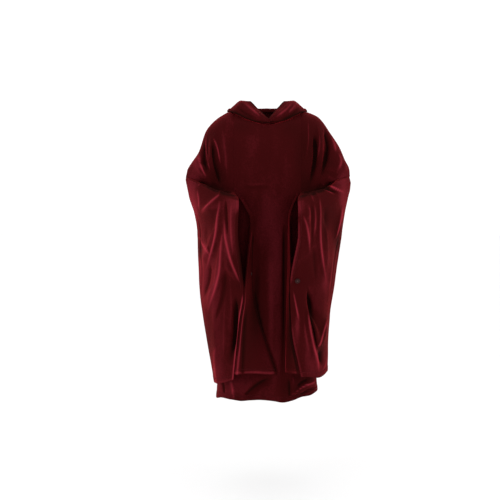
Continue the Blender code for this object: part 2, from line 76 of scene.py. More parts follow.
# Columns of the point on a section's edge, in the tables of panels and sleeves, and of a sleeve's side
EDGE = slice(0, 3)
SIDE = slice(3, 6)

# Front and back panels, by sections from the neck to the long hem
Panel = namedtuple("Panel", "edge_x edge_y edge_z centre_y centre_z full turn")
FRONT_PANEL = [
    Panel(125, -88, -50, -113, -78, 2.6, 1.0),
    Panel(125, -108, -100, -124, -112, 2.6, 1.0),
    Panel(125, -117, -160, -130, -162, 2.6, 1.0),
    Panel(125, -120, -225, -133, -225, 2.6, 1.0),
    Panel(123, -121, -298, -134, -298, 2.6, 1.0),
    Panel(139, -72, -370, -136, -370, 2.6, 1.8),
    Panel(150, -10.1, -440, -139, -440, 2.5, 2.5),
    Panel(164, -10.1, -650, -143, -650, 2.5, 2.5),
    Panel(178, -10.1, -850, -149, -850, 2.4, 2.4),
    Panel(195, -10.1, -1076, -155, -1076, 2.3, 2.3),
]
BACK_PANEL = [
    Panel(127, 86, -48, 114, -40, 2.6, 1.0),
    Panel(131, 109, -98, 127, -95, 2.6, 1.0),
    Panel(131, 117, -160, 130, -160, 2.6, 1.0),
    Panel(131, 120, -228, 132, -228, 2.6, 1.0),
    Panel(131, 120, -298, 134, -298, 2.6, 1.0),
    Panel(141, 72, -370, 135, -370, 2.6, 1.8),
    Panel(150, -10, -440, 136, -440, 2.6, 2.6),
    Panel(164, -10, -650, 144, -650, 2.6, 2.6),
    Panel(178, -10, -850, 152, -850, 2.5, 2.5),
    Panel(195, -10, -1076, 160, -1076, 2.4, 2.4),
]
PANEL_TOP = (2.0, 1.0)
PANEL_COLUMNS = 108

# The part of a panel whose depth is read: its half width, its top and foot, the pitch of the table, and how
# many cells from its end a place is kept
READ_X = 196
READ_TOP = 10
READ_FOOT = -1084
READ_PITCH = 2
READ_END = 1.001

# Sleeves, by sections from the neck seam to the hem
Sleeve = namedtuple("Sleeve", "edge_x edge_y edge_z side_x side_y side_z back_z front_full back_full")
RIGHT_SLEEVE = [
    Sleeve(125, -88, -50, 184, 0, -21, -48, 2.0, 2.0),
    Sleeve(125, -108, -100, 229, -5, -68, -98, 2.2, 2.0),
    Sleeve(125, -117, -160, 258, -25, -150, -160, 2.3, 1.9),
    Sleeve(125, -120, -225, 300, -50, -218, -228, 2.2, 1.8),
    Sleeve(123, -121, -298, 304, -78, -244, -298, 2.0, 1.8),
    Sleeve(113, -192, -309, 304, -84, -250, -308, 1.6, 1.8),
    Sleeve(107, -246, -314, 302.5, -89, -259, -322, 1.35, 1.8),
    Sleeve(105, -284, -332, 299.5, -92, -276, -342, 1.3, 1.8),
    Sleeve(106, -303, -366, 291, -95, -318, -380, 1.32, 1.8),
    Sleeve(108, -300, -444, 258, -80, -444, -450, 1.5, 1.8),
    Sleeve(88, -226, -646, 252, -62, -650, -655, 1.9, 1.9),
    Sleeve(104, -224, -769, 240, -48, -780, -790, 2.0, 2.0),
    Sleeve(126, -227, -979, 204, -38, -1014, -1014, 2.0, 2.2),
]
LEFT_SLEEVE = [
    Sleeve(125, -88, -50, 190, 0, -18, -48, 2.0, 2.0),
    Sleeve(125, -108, -100, 234, -5, -74, -98, 2.2, 2.0),
    Sleeve(125, -117, -160, 278, -25, -146, -160, 2.3, 1.9),
    Sleeve(125, -120, -225, 298, -50, -210, -228, 2.2, 1.8),
    Sleeve(123, -121, -298, 300, -78, -244, -298, 2.0, 1.8),
    Sleeve(113, -192, -309, 303, -84, -254, -308, 1.6, 1.8),
    Sleeve(107, -246, -314, 306, -89, -267, -322, 1.35, 1.8),
    Sleeve(105, -284, -332, 306, -92, -286, -342, 1.3, 1.8),
    Sleeve(105, -303, -366, 299, -95, -326, -380, 1.32, 1.8),
    Sleeve(105, -300, -444, 276, -80, -444, -450, 1.5, 1.8),
    Sleeve(80, -226, -630, 250, -62, -640, -655, 1.9, 1.9),
    Sleeve(86, -222, -790, 235, -48, -780, -790, 2.0, 2.0),
    Sleeve(121, -224, -970, 231, -42, -973, -990, 2.0, 2.2),
]
SLEEVE_TOP = (2.0, 2.0)
BACK_LIFT = LAP + 0.7
BACK_TOP_LIFT = np.array([0.8, LAP, 0.8])
SLEEVE_FRONT_COLUMNS = 148
SLEEVE_BACK_COLUMNS = 46

# Front flaps, from the top of the hand slit to their own hem
Flap = namedtuple("Flap", "z outer_x outer_y inner_x inner_lift")
RIGHT_FLAP = [
    Flap(-304, 118, -125, 106, 2.8),
    Flap(-350, 88, -140, 74, 2.8),
    Flap(-408, 66, -150, 50, 2.8),
    Flap(-560, 80, -182, 57, 2.8),
    Flap(-646, 88, -226, 56, 3.4),
    Flap(-769, 104, -224, 31, 5.0),
    Flap(-961, 123, -227, -36, 8.0),
]
LEFT_FLAP = [
    Flap(-304, 118, -125, 108, 2.5),
    Flap(-350, 96, -138, 86, 2.5),
    Flap(-408, 84, -149, 76, 2.5),
    Flap(-560, 86, -184, 76, 2.5),
    Flap(-630, 80, -226, 73, 3.2),
    Flap(-790, 86, -222, 70, 5.0),
    Flap(-958, 119, -224, 67, 8.0),
]
FLAP_RIDGE = (-2.6, -1.5)
FLAP_BOW = 1.3
FLAP_LIFT = 3.2
SLIT_FOOT = 4
FLAP_COLUMNS = 36

# Hood halves, by angle round the neck from the front to the seam at the back
Hood = namedtuple("Hood", "angle low fold high edge")
HOOD = [
    Hood(0, (0, -103, -41), (0, -107, -37), (0, -105, -31), (0, -99, -26)),
    Hood(15, (38, -101, -38), (34, -102, -26), (27, -93, -13), (17, -78, -8)),
    Hood(30, (72, -92, -28), (67, -88, -8), (55, -72, 10), (38, -50, 13)),
    Hood(60, (127, -54, -2), (116, -46, 18), (92, -32, 40), (65, -18, 40)),
    Hood(90, (151, -1, 4), (129, 2, 23), (99, 4, 44), (76, 8, 37)),
    Hood(120, (133, 56, 13), (120, 60, 30), (102, 60, 41), (82, 50, 33)),
    Hood(140, (106, 104, -8), (116, 128, -70), (112, 116, -14), (80, 84, 31)),
    Hood(160, (58, 130, -42), (70, 154, -172), (66, 180, -72), (44, 132, 18)),
    Hood(180, (0, 138, -54), (0, 158, -208), (0, 195, -88), (0, 150, 8)),
]
HOOD_TUCK = 4.0
HOOD_INSET = LAP + 1.2
HOOD_RISE = (6.0, 11.0)
HOOD_CLEAR = (2.0, 4.0)
HOOD_OVER = 2.4
HOOD_SEAM_X = 0.1
HOOD_PITCH = 4.5
HOOD_FULLEST = 6

# Where one half of the hood laps under the other at the front, by angle, depth and width
HOOD_LAP_ANGLE = 22.0
HOOD_UNDER = LAP + 1.7
HOOD_UNDER_POWER = 0.4
HOOD_LAP_X = 10.0
HOOD_LAP_FOOT = 0.2
HOOD_APART_X = 0.35

# Sides that a fold is drawn on: the axes across and up it, the axis that points out of it and which way,
# with nought for both, and how much of a surface's turn towards it doesn't count
Face = namedtuple("Face", "across up out way slack")
FACES = {
    "front": Face(0, 2, 1, -1, 0.0),
    "back": Face(0, 2, 1, 1, 0.0),
    "side": Face(1, 2, 0, 0, 0.4),
    "top": Face(0, 1, 2, 1, 0.3),
}

# Large folds, which the solids have too, and the smaller creases that only the looks have. Each runs through
# three points of its face, where z is its height or, from the top, its depth. The last column is painted
# light
# and shade: 1 paints the lightest highlight on a crest and -1 paints a valley black with shade
Fold = namedtuple("Fold", "x_top z_top x_mid z_mid x_foot z_foot width height mark", defaults=(0,))
LARGE_FOLDS = {}
LARGE_FOLDS["right_sleeve", "front"] = [
    (-222, -75, -228, -140, -240, -205, 13, -14),
    (-192, -80, -182, -190, -158, -335, 16, -22),
    (-236, -110, -218, -205, -180, -320, 14, -15),
    (-208, -80, -206, -150, -196, -235, 13, 14),
    (-264, -150, -252, -215, -222, -275, 22, 22),
    (-158, -335, -200, -350, -250, -372, 15, 16),
    (-165, -370, -205, -500, -243, -580, 18, 24),
    (-152, -430, -180, -620, -228, -750, 19, 26),
    (-150, -430, -138, -560, -98, -640, 15, 22),
    (-124, -660, -124, -790, -136, -920, 13, -25),
    (-190, -600, -186, -800, -172, -1010, 20, 19),
]
LARGE_FOLDS["right_sleeve", "back"] = [
    (-205, -300, -215, -600, -178, -1010, 26, 22),
    (-165, -420, -172, -700, -152, -1010, 20, -19),
]
LARGE_FOLDS["left_sleeve", "front"] = [
    (178, -60, 184, -150, 154, -330, 16, -22),
    (208, -60, 218, -150, 190, -310, 14, -18),
    (194, -55, 200, -120, 186, -230, 13, 14),
    (284, -165, 270, -240, 232, -302, 32, 32),
    (128, -345, 138, -400, 146, -480, 14, 16),
    (188, -360, 200, -470, 216, -620, 18, 24),
    (270, -350, 262, -420, 250, -500, 15, 16),
    (150, -700, 165, -800, 178, -955, 18, 26),
    (150, -640, 164, -720, 196, -840, 16, -26),
    (218, -740, 208, -800, 192, -880, 15, 17),
]
LARGE_FOLDS["left_sleeve", "back"] = [
    (205, -300, 218, -600, 195, -1000, 26, 22),
    (165, -420, 172, -700, 152, -1000, 20, -19),
]
LARGE_FOLDS["front_panel", "front"] = [
    (70, -420, 69, -700, 62, -1082, 15, -10),
    (-40, -420, -44, -620, -50, -760, 15, -8),
    (-132, -980, -134, -1020, -136, -1082, 14, 9),
    (88, -980, 94, -1020, 98, -1082, 14, 10),
    (20, -985, -20, -1015, -70, -1055, 13, -8),
]
LARGE_FOLDS["back_panel", "back"] = [
    (-62, -260, -70, -600, -82, -1082, 22, 12),
    (48, -300, 60, -650, 70, -1082, 22, 12),
    (-6, -420, -4, -700, -8, -1082, 22, -11),
]
CREASES = {}
CREASES["right_sleeve", "front"] = [
    (-223, -79, -228, -146, -207, -239, 5, 7, 0.8),
    (-208, -83, -187, -131, -171, -205, 5, 7, 0.8),
    (-204, -105, -196, -183, -171, -283, 9, -11, -1),
    (-234, -112, -235, -165, -219, -224, 6, -9, -1),
    (-261, -150, -248, -198, -226, -246, 6, 7, 1.1),
    (-169, -61, -157, -142, -148, -268, 11, 3, 0.15),
    (-164, -296, -205, -333, -249, -375, 6, 8, 0.9),
    (-262, -455, -238, -486, -208, -524, 5, 6, 1.5),
    (-172, -314, -184, -429, -231, -600, 6, 10, 0.95),
    (-159, -413, -173, -559, -227, -763, 9, 11, 0.75),
    (-158, -378, -142, -509, -90, -653, 6, 11, 0.95),
    (-129, -320, -131, -412, -126, -535, 9, 5, 0.35),
    (-258, -285, -250, -325, -249, -370, 6, 5, 0.7),
    (-152, -317, -149, -370, -143, -448, 6, -6, -0.6),
    (-221, -415, -223, -469, -203, -525, 7, -1.5, -0.15),
    (-207, -549, -216, -618, -241, -702, 8, -5, -0.35),
    (-151, -566, -160, -651, -197, -781, 9, -5, -0.4),
    (-116, -657, -116, -781, -129, -907, 9, -14, -1),
    (-190, -855, -196, -912, -193, -973, 8, 6, 0.5),
    (-156, -688, -160, -798, -162, -916, 9, 3, 0.1),
    (-140, -573, -134, -687, -140, -817, 8, 3, 0.1),
]
CREASES["right_sleeve", "side"] = [
    (-60, -300, -76, -500, -88, -900, 12, 8, 0.89),
    (8, -310, 0, -560, 16, -1010, 14, 7, 0.78),
    (70, -260, 60, -600, 66, -1010, 14, 8, 0.89),
    (-118, -330, -128, -520, -104, -700, 11, -3, -0.1),
    (-30, -470, -34, -620, -24, -1010, 12, -9, -1),
    (-84, -262, -30, -276, 30, -262, 9, -7, -0.78),
    (18, -70, 14, -140, -20, -225, 12, -6, -0.67),
]
CREASES["right_sleeve", "back"] = [
    (-188, -120, -206, -220, -214, -340, 13, 9, 1),
    (-154, -200, -160, -500, -150, -900, 11, 7, 0.78),
    (-240, -330, -246, -500, -226, -900, 11, 9, 1),
    (-150, -262, -200, -292, -262, -272, 9, -6, -0.67),
]
CREASES["right_sleeve", "top"] = [
    (-122, -172, -190, -132, -268, -96, 26, -14, -1),
    (-100, -250, -160, -208, -240, -140, 34, -0.1, -0.7),
    (-150, -140, -172, -196, -180, -252, 9, 5, 0.56),
    (-205, -120, -230, -150, -262, -160, 8, 4, 0.44),
]
CREASES["left_sleeve", "front"] = [
    (185, -42, 194, -117, 178, -213, 6, 7, 0.55),
    (172, -80, 178, -157, 153, -290, 8, -10, -0.9),
    (215, -56, 222, -127, 196, -257, 8, -12, -1),
    (236, -94, 247, -124, 254, -153, 6, 6, 0.6),
    (261, -150, 273, -187, 260, -220, 6, 6, 0.6),
    (150, -18, 151, -95, 138, -200, 7, 4, 0.5),
    (204, -33, 216, -48, 232, -78, 5, 4, 0.4),
    (184, -289, 185, -436, 220, -655, 6, 10, 0.8),
    (127, -322, 150, -306, 164, -332, 6, 5, 0.45),
    (164, -332, 167, -388, 162, -456, 6, 5, 0.45),
    (139, -334, 146, -366, 144, -412, 6, 4, 0.3),
    (122, -369, 139, -422, 150, -519, 7, 7, 0.65),
    (279, -345, 262, -410, 243, -478, 6, 9, 1.5),
    (196, -264, 230, -277, 289, -302, 4, 7, 1.2),
    (190, -280, 218, -286, 256, -299, 4.5, -9, -1.6),
    (159, -291, 203, -287, 248, -308, 4, 5, 1.0),
    (154, -324, 155, -391, 154, -501, 7, -4, -0.3),
    (205, -340, 207, -429, 233, -554, 10, -4, -0.3),
    (238, -555, 236, -604, 225, -668, 7, 5, 0.35),
    (137, -702, 157, -801, 188, -962, 6, 12, 0.65),
    (165, -845, 178, -900, 190, -965, 9, 4, 0.5),
    (145, -640, 165, -775, 184, -880, 6.5, -0.1, -1.4),
    (154, -720, 169, -805, 190, -905, 7, -8, -1),
    (142, -632, 160, -749, 188, -885, 6.5, -12, -1),
    (226, -756, 200, -825, 173, -893, 5, 9, 1.5),
    (190, -875, 193, -904, 199, -936, 7, -7, -0.8),
    (225, -887, 220, -930, 202, -960, 6, 5, 0.5),
    (91, -646, 100, -697, 116, -775, 5, 7, 0.7),
    (128, -709, 136, -798, 153, -894, 10, 4, 0.2),
    (161, -486, 168, -547, 176, -627, 9, -4, -0.3),
]
CREASES["left_sleeve", "side"] = [
    (-60, -310, -80, -500, -84, -900, 12, 8, 0.89),
    (4, -320, 8, -560, 10, -990, 14, 7, 0.78),
    (64, -260, 72, -600, 62, -990, 14, 8, 0.89),
    (-110, -360, -132, -520, -110, -720, 11, -3, -0.1),
    (-34, -460, -30, -640, -36, -990, 12, -9, -1),
    (-88, -270, -30, -284, 26, -266, 9, -7, -0.78),
    (22, -70, 10, -150, -24, -222, 12, -6, -0.67),
]
CREASES["left_sleeve", "back"] = [
    (194, -110, 210, -220, 220, -350, 13, 9, 1),
    (152, -220, 162, -520, 150, -900, 11, 7, 0.78),
    (246, -330, 250, -520, 238, -900, 11, 9, 1),
    (154, -270, 204, -286, 258, -260, 9, -6, -0.67),
]
CREASES["left_sleeve", "top"] = [
    (122, -172, 190, -132, 268, -98, 26, -14, -1),
    (100, -250, 160, -208, 240, -140, 34, -0.1, -0.7),
    (150, -150, 168, -200, 184, -250, 9, 5, 0.56),
]
CREASES["front_panel", "front"] = [
    (-125, -37, -80, -47, -35, -50, 5, 1.6, 0.12),
    (-109, -268, -58, -269, 1, -267, 5, 1.6, 0.14),
    (-95, -280, -43, -282, 16, -278, 7, -1.5, -0.15),
    (61, -408, 62, -556, 59, -1000, 6, -7, -1),
    (-55, -630, -14, -835, 42, -990, 8, -3, -1),
    (-35, -549, -43, -698, -13, -865, 14, -4, -0.5),
    (9, -474, 13, -697, 13, -952, 20, 3, 0.12),
    (-138, -1001, -130, -1035, -127, -1065, 6, 6, 0.7),
    (15, -984, -39, -1016, -78, -1051, 7, -7, -1),
    (95, -984, 96, -1016, 94, -1052, 4, 5, 0.35),
    (78, -987, 80, -1020, 83, -1054, 5, -6, -1),
    (191, -1020, 146, -1024, 96, -1048, 5, 9, 0.85),
    (158, -1004, 130, -1012, 109, -1028, 6, -6, -0.9),
    (188, -1043, 158, -1045, 127, -1055, 6, -6, -0.8),
    (-171, -1011, -165, -1032, -163, -1054, 5, -4, -0.7),
]
CREASES["back_panel", "back"] = [
    (-96, -150, -100, -300, -104, -520, 13, 6, 0.67),
    (88, -170, 96, -320, 100, -540, 13, 6, 0.67),
    (-66, -330, -72, -640, -84, -1082, 11, 8, 0.89),
    (52, -380, 62, -680, 72, -1082, 11, 9, 1),
    (-30, -560, -28, -800, -36, -1082, 12, 6, 0.67),
    (24, -620, 26, -820, 22, -1082, 12, 5, 0.56),
    (-110, -560, -118, -820, -126, -1082, 12, 7, 0.78),
    (108, -600, 118, -840, 124, -1082, 12, 7, 0.78),
    (-60, -236, 0, -246, 56, -238, 9, -4, -0.44),
]
CREASES["right_front_flap", "front"] = [
    (-76, -700, -86, -820, -92, -951, 10, -5, -0.56),
]
CREASES["left_front_flap", "front"] = [
    (92, -740, 98, -850, 106, -948, 9, -4, -0.44),
]
CREASES["hood_right", "front"] = [
    (-94, 38, -60, 8, -20, -26, 7, 4, 0.44),
    (-118, 22, -80, -8, -40, -30, 7, -4, -0.44),
]
CREASES["hood_right", "back"] = [
    (-60, -20, -54, -70, -30, -140, 12, 5, 0.56),
    (-92, 0, -92, -50, -70, -110, 11, -4, -0.44),
]
CREASES["hood_right", "top"] = [
    (-110, 20, -106, 60, -84, 104, 9, 4, 0.44),
]
CREASES["hood_left", "front"] = [
    (96, 36, 66, 4, 26, -26, 7, 4, 0.44),
    (122, 18, 88, -12, 46, -32, 7, -4, -0.44),
    (110, 34, 92, 10, 76, -6, 7, 3, 0.33),
]
CREASES["hood_left", "back"] = [
    (64, -16, 56, -76, 34, -146, 12, 5, 0.56),
    (96, 0, 92, -56, 66, -116, 11, -4, -0.44),
]
CREASES["hood_left", "top"] = [
    (112, 16, 104, 64, 80, 108, 9, 4, 0.44),
]

# How a large fold fades by its ends, its share of its height, how far it is held back from the edges, how
# near the hem it keeps its foot, and how round its crest is
FOLD_FADE = 0.4
FOLD_SHARE = 0.75
FOLD_HELD = {
    "front_panel": (12, 12),
    "back_panel": (60, 60),
    "right_sleeve": (12, 40),
    "left_sleeve": (12, 40),
}
TOP_HELD = 30
HEM_MARGIN = 30
CREST_ROUND = 4.0

# How a crease runs: points on its path, the share over which an end fades, and its width along it, from the
# share at its ends to what the middle adds
PATH_POINTS = 13
CREASE_FADE = 0.3
CREASE_WIDTH = (0.55, 0.45)
CREASE_ENDS = (0.05, 0.95)
CREST_CRISP = 1.3
CREST_SHARE = 0.65
VALLEY_CRISP = 2.0

# Width of the highlights painted on crests and the shade painted in valleys, and where along a crest it is
# strongest
MARK_WIDTH = 1.2
MARK_SHARE = 0.2
VALLEY_SHARE = 0.75
CREST_SWELL = (0.7, 0.3, 0.62, 0.24)

# Painted highlights and painted shadows in lines that run beside an edge of the cloth
EdgeShading = namedtuple("EdgeShading", "edge inset width mark z_top z_foot")
EDGE_SHADING = {
    "right_sleeve": [
        EdgeShading("start", 3, 3, 0.7, -655, -1000),
        EdgeShading("start", 18, 10, -0.5, -670, -930),
        EdgeShading("start", 2, 6, -0.5, -345, -640),
        EdgeShading("foot", 5, 4, 0.15, -880, -1100),
    ],
    "left_sleeve": [
        EdgeShading("start", 4, 3.2, 0.15, -760, -1000),
        EdgeShading("start", 3, 4, 0.25, -380, -640),
    ],
    "right_front_flap": [
        EdgeShading("start", 9, 3.2, 0.6, -420, -990),
        EdgeShading("start", 2, 3, -0.6, -680, -900),
        EdgeShading("end", 2, 7, -0.9, -440, -1000),
        EdgeShading("foot", 7, 4, 0.35, -880, -1100),
    ],
    "left_front_flap": [
        EdgeShading("end", 3, 3.2, 0.75, -420, -980),
        EdgeShading("start", 5, 8, -0.8, -640, -990),
        EdgeShading("foot", 6, 4, 0.35, -880, -1100),
    ],
    "hood_right": [EdgeShading("foot", 0, 7, -1.0, 100, -100)],
    "hood_left": [EdgeShading("foot", 0, 7, -1.0, 100, -100)],
}
EDGE_SHADING_FADE = 40

# Shade under the roll of the hood, by row, height and depth, and the angles where it ends
HOOD_SHADE = (2.95, 0.45, 1.2)
HOOD_SHADE_ANGLES = (100, 30)

# Soft patches of painted light and painted shade, by where they lie as seen from the front
ShadingPatch = namedtuple("ShadingPatch", "x z width height mark")
SHADING_PATCHES = {}
SHADING_PATCHES["right_sleeve"] = [
    (-214, -105, 34, 60, -0.25),
    (-250, -190, 22, 37, 0.12),
    (-187, -246, 30, 45, -0.4),
    (-108, -338, 21, 32, 0.2),
    (-143, -434, 18, 106, 0.14),
    (-253, -591, 34, 149, 0.16),
    (-203, -632, 33, 116, 0.2),
    (-110, -440, 12, 70, 0.15),
    (-190, -873, 33, 138, 0.13),
    (-190, -962, 22, 40, 0.12),
    (-224, -868, 22, 92, -0.6),
    (-249, -508, 10, 30, -0.8),
    (-270, -375, 12, 45, 0.3),
    (-262, -578, 12, 30, 0.3),
    (-230, -500, 9, 20, 0.3),
    (-282, -330, 22, 90, 0.3),
    (-98, -548, 14, 93, -0.35),
]
SHADING_PATCHES["left_sleeve"] = [
    (130, -140, 50, 110, -0.4),
    (194, -105, 37, 97, -0.2),
    (131, -266, 48, 40, -0.35),
    (222, -378, 44, 72, -0.3),
    (107, -343, 18, 34, 0.2),
    (277, -326, 18, 81, 0.28),
    (260, -458, 24, 60, -0.5),
    (178, -930, 29, 44, 0.18),
    (209, -835, 18, 51, -0.3),
    (196, -885, 13, 40, -0.6),
    (102, -700, 29, 70, -0.15),
    (108, -770, 8, 55, 0.25),
    (145, -872, 13, 55, 0.12),
    (260, -492, 10, 30, -0.4),
    (212, -130, 12, 34, 0.3),
    (212, -632, 14, 34, 0.2),
    (140, -752, 10, 30, -0.25),
    (172, -787, 10, 36, -0.25),
]
SHADING_PATCHES["front_panel"] = [
    (-95, -46, 45, 34, -0.3),
    (83, -47, 37, 52, -0.3),
    (125, -160, 26, 120, -0.35),
    (1, -418, 44, 81, 0.1),
    (31, -541, 26, 125, 0.15),
    (-20, -772, 18, 166, -0.25),
    (-171, -1042, 34, 34, 0.15),
    (94, -1035, 37, 33, -0.45),
    (155, -1001, 26, 14, -0.5),
    (-106, -1024, 30, 32, 0.15),
]
SHADING_PATCHES["right_front_flap"] = [
    (-58, -585, 29, 170, -0.6),
    (-43, -751, 22, 103, -0.5),
    (-84, -615, 10, 50, -0.3),
    (-80, -854, 25, 108, -0.2),
]
SHADING_PATCHES["left_front_flap"] = [
    (80, -598, 29, 163, -0.35),
    (82, -825, 16, 145, -0.85),
    (66, -576, 10, 60, -0.3),
]

# How fast a patch of painted light and shade fades where its cloth turns away from the front
PATCH_TURN = -6

# Dark line where the cloth turns over the forearm: how level it is there, the mark, and where it lies
CREST_SHADE = (0.8, 0.98, -0.7)
CREST_BAND = (-215, -345)
CREST_FRONT_Y = -100
CREST_FADE = 20

# Dips along a hem, where the cloth hangs lower, or is caught up where the drop is below nought
Dip = namedtuple("Dip", "x width drop")
TUNIC_DIPS = [
    Dip(-198, 17, 15),
    Dip(-100, 22, 3),
    Dip(-28, 36, -4),
    Dip(60, 26, 8),
    Dip(132, 30, -9),
    Dip(196, 36, -16),
]
HEM_DIPS = {
    "front_panel": TUNIC_DIPS,
    "back_panel": TUNIC_DIPS,
    "left_sleeve": [Dip(190, 26, 9)],
    "right_front_flap": [Dip(22, 55, 12)],
    "left_front_flap": [Dip(66, 34, 11)],
}
HEM_REACH = 170.0

# Press stud beside the foot of the left sleeve's slit, and its open half on the right flap. Creases keep
# clear of them
SNAPS = {"left_sleeve": (106, -618), "right_front_flap": (-62, -596)}
SNAP_CLEAR = (10, 26.0)

# Hand slits: the depth of their hem, its two ends, where the chest seam ends, and how near creases come
SLIT_HEM = 12.0
SLIT_TOP = -305
SLIT_END = {"right_sleeve": -655, "left_sleeve": -640}
SLIT_FADE = 20
CHEST_END = (-260, 40)
ARM_Z = -300
CHEST_HELD = 16
SLIT_HELD = (0.15, 0.85, 20)

# Dress of each piece: the height of its hem, the seed, size and depth of its waves, how far its creases are
# held back from its edges, the depth of its hem, and its sewn edges
Dress = namedtuple("Dress", "hem_z waves held hem seams")
TUNIC_HEM_Z = -1076
SLEEVE_HEM_Z = -1000
FLAP_HEM_Z = -960
NO_HEM_Z = -2000
HOOD_HEM = 20.0
SLEEVE_HELD = {"top": 26, "end": 26}
FLAP_DRESS = Dress(FLAP_HEM_Z, (47.0, (60, 220), 0.9), {"top": 30, "start": 16, "end": 16}, HEM_DEPTH, [])
HOOD_DRESS = Dress(
    NO_HEM_Z, (59.0, (60, 60), 1.2), {"top": 26, "end": 16, "start": 12, "foot": 12}, HOOD_HEM, ["end"],
)
DRESS = {
    "front_panel": Dress(
        TUNIC_HEM_Z, (3.0, (95, 260), 1.2), {"top": 30, "start": 14, "end": 14}, HEM_DEPTH, ["start", "end"],
    ),
    "back_panel": Dress(
        TUNIC_HEM_Z, (11.0, (95, 280), 1.4), {"top": 30, "start": 70, "end": 70}, HEM_DEPTH, ["start", "end"],
    ),
    "right_sleeve": Dress(SLEEVE_HEM_Z, (21.0, (80, 250), 1.7), SLEEVE_HELD, HEM_DEPTH, ["end"]),
    "left_sleeve": Dress(SLEEVE_HEM_Z, (33.0, (80, 250), 1.7), SLEEVE_HELD, HEM_DEPTH, ["end"]),
    "right_front_flap": FLAP_DRESS,
    "left_front_flap": FLAP_DRESS,
    "hood_right": HOOD_DRESS,
    "hood_left": HOOD_DRESS,
}

# The finer waves on the soft ones: their share of the height, how much closer they run across and down, and
# their seed
FINE_WAVES = (0.45, 2.3, 2.1)
FINE_SEED = 7

# How far a point stands out, which paints light where it stands out and shade where it sinks in: rounds that
# even the cloth round it, the full height and its share of the painted light and shade
EVEN_ROUNDS = 40
STAND_HEIGHT = 5.0
STAND_SHARE = 0.13

# Stitches, by length along the line, size along, across and out of the cloth, and lift off it, and how far
# above the foot of a slit they start and where they end
THREAD_PITCH = 4.4
THREAD_SIZE = (1.75, 0.5, 0.42)
THREAD_LIFT = 0.15
SLIT_STITCHES = (12, -310)

# Cut of each piece before it is hung, in metres and square metres, as far as it shows
Cut = namedtuple("Cut", "width length area held rests_on")
CUTS = {
    "front_panel": Cut(0.52, 1.06, 0.445, "hung", []),
    "back_panel": Cut(0.54, 1.13, 0.50, "hung", []),
    "right_sleeve": Cut(0.74, 1.21, 0.54, "draped", []),
    "left_sleeve": Cut(0.74, 1.21, 0.54, "draped", []),
    "right_front_flap": Cut(0.16, 0.70, 0.054, "hung", ["front_panel"]),
    "left_front_flap": Cut(0.11, 0.70, 0.043, "hung", ["front_panel"]),
    "hood_right": Cut(0.32, 0.34, 0.083, "folded", ["back_panel"]),
    "hood_left": Cut(0.32, 0.34, 0.083, "folded", ["back_panel"]),
}

# Press stud, by radius and height over the middle of its solid: a dished ring, its post and the open socket
STUD_RING = [
    (3.0, -0.9), (8.7, -1.0), (9.35, -0.7), (9.5, -0.1), (9.3, 0.6), (8.7, 1.0), (7.8, 1.15), (6.9, 1.0),
    (6.2, 0.55), (5.4, 0.2), (4.2, 0.1), (3.0, 0.1), (3.0, -0.9),
]
STUD_POST = [
    (0, -0.8), (2.7, -0.8), (2.9, -0.5), (2.9, 0.7), (2.7, 1.15), (2.1, 1.35), (1.2, 1.42), (0.6, 1.3),
    (0, 1.25),
]
SOCKET_RING = [
    (0, -0.9), (5.4, -0.9), (5.9, -0.6), (6.0, 0.0), (5.7, 0.6), (5.0, 0.9), (4.1, 0.95), (3.3, 0.75),
    (2.8, 0.3), (2.6, -0.3), (0, -0.35),
]
TURNED_STEPS = 48

# Colours of the fleece: painted shade in its valleys, its own colour on the flat and painted highlights on
# its ridges; its sheen from valley to ridge, which follows the painted light and shade; and how strongly its
# pile is streaked and speckled
FLEECE_PAINTED_SHADE = (0.009, 0.0012, 0.0006, 1)
FLEECE_BODY = (0.035, 0.0019, 0.0024, 1)
FLEECE_PAINTED_HIGHLIGHT = (0.27, 0.0205, 0.0345, 1)
SHEEN = (0.06, 0.55)
BRUSHING = 0.3
SPECKS = (0.24, -0.12)

# How far apart the nodes of a material are laid out
NODE_PITCH = 200

# Camera and floor, placed in metres
EYE = Vector((-0.065, -4.0, -0.17))
VIEW_DROP = math.radians(5.05)
LENS = 75.39
FLOOR_Z = -1.43
FLOOR_RADIUS = 14.0

# Air and lamps, by place and power
AIR = {"Color": (1.0, 1.0, 1.0, 1), "Strength": 1.12}
LIGHTS = {"left_panel_light": ((-3.0, -1.6, 0.6), 25), "right_panel_light": ((3.0, -1.4, 0.5), 22)}
LIGHT_SIZE = (1.2, 2.4)
LIGHT_TARGET = (0, 0, -0.5)


def stops(points, pitch, last=None):
    """Places where a surface is sampled, in rows of its table: a pitch apart, and closer by its hem.

    The hem's rows are shares of the last row of the table, whose length is given.
    """
    places = [0.0]
    lengths = np.linalg.norm(np.diff(np.array(points, float), axis=0), axis=1)
    for row, length in enumerate(lengths):
        count = max(2, round(length / pitch))
        places += [row + (i + 1) / count for i in range(count)]
    if last:
        places += [len(lengths) - distance / last for distance in HEM_ROWS]
    return np.unique(np.round(places, 6))


def smooth(values, places):
    """Curve through the table's values that never swings past them, read at places counted in rows."""
    values = np.asarray(values, float)
    rise = np.diff(values, axis=0)
    slope = np.zeros_like(values)
    slope[0], slope[-1] = rise[0], rise[-1]
    same = rise[1:] * rise[:-1] > 0
    total = np.where(same, rise[1:] + rise[:-1], 1.0)
    slope[1:-1] = np.where(same, 2 * rise[1:] * rise[:-1] / total, 0.0)
    row = np.clip(np.floor(places).astype(int), 0, len(values) - 2)
    t = (places - row).reshape((-1,) + (1,) * (values.ndim - 1))
    start = (1 + 2 * t) * (1 - t) ** 2 * values[row] + t * (1 - t) ** 2 * slope[row]
    end = t * t * (3 - 2 * t) * values[row + 1] + t * t * (t - 1) * slope[row + 1]
    return start + end


def ease(share):
    """Share from nought to one, with a soft start and end."""
    share = np.clip(share, 0, 1)
    return share * share * (3 - 2 * share)


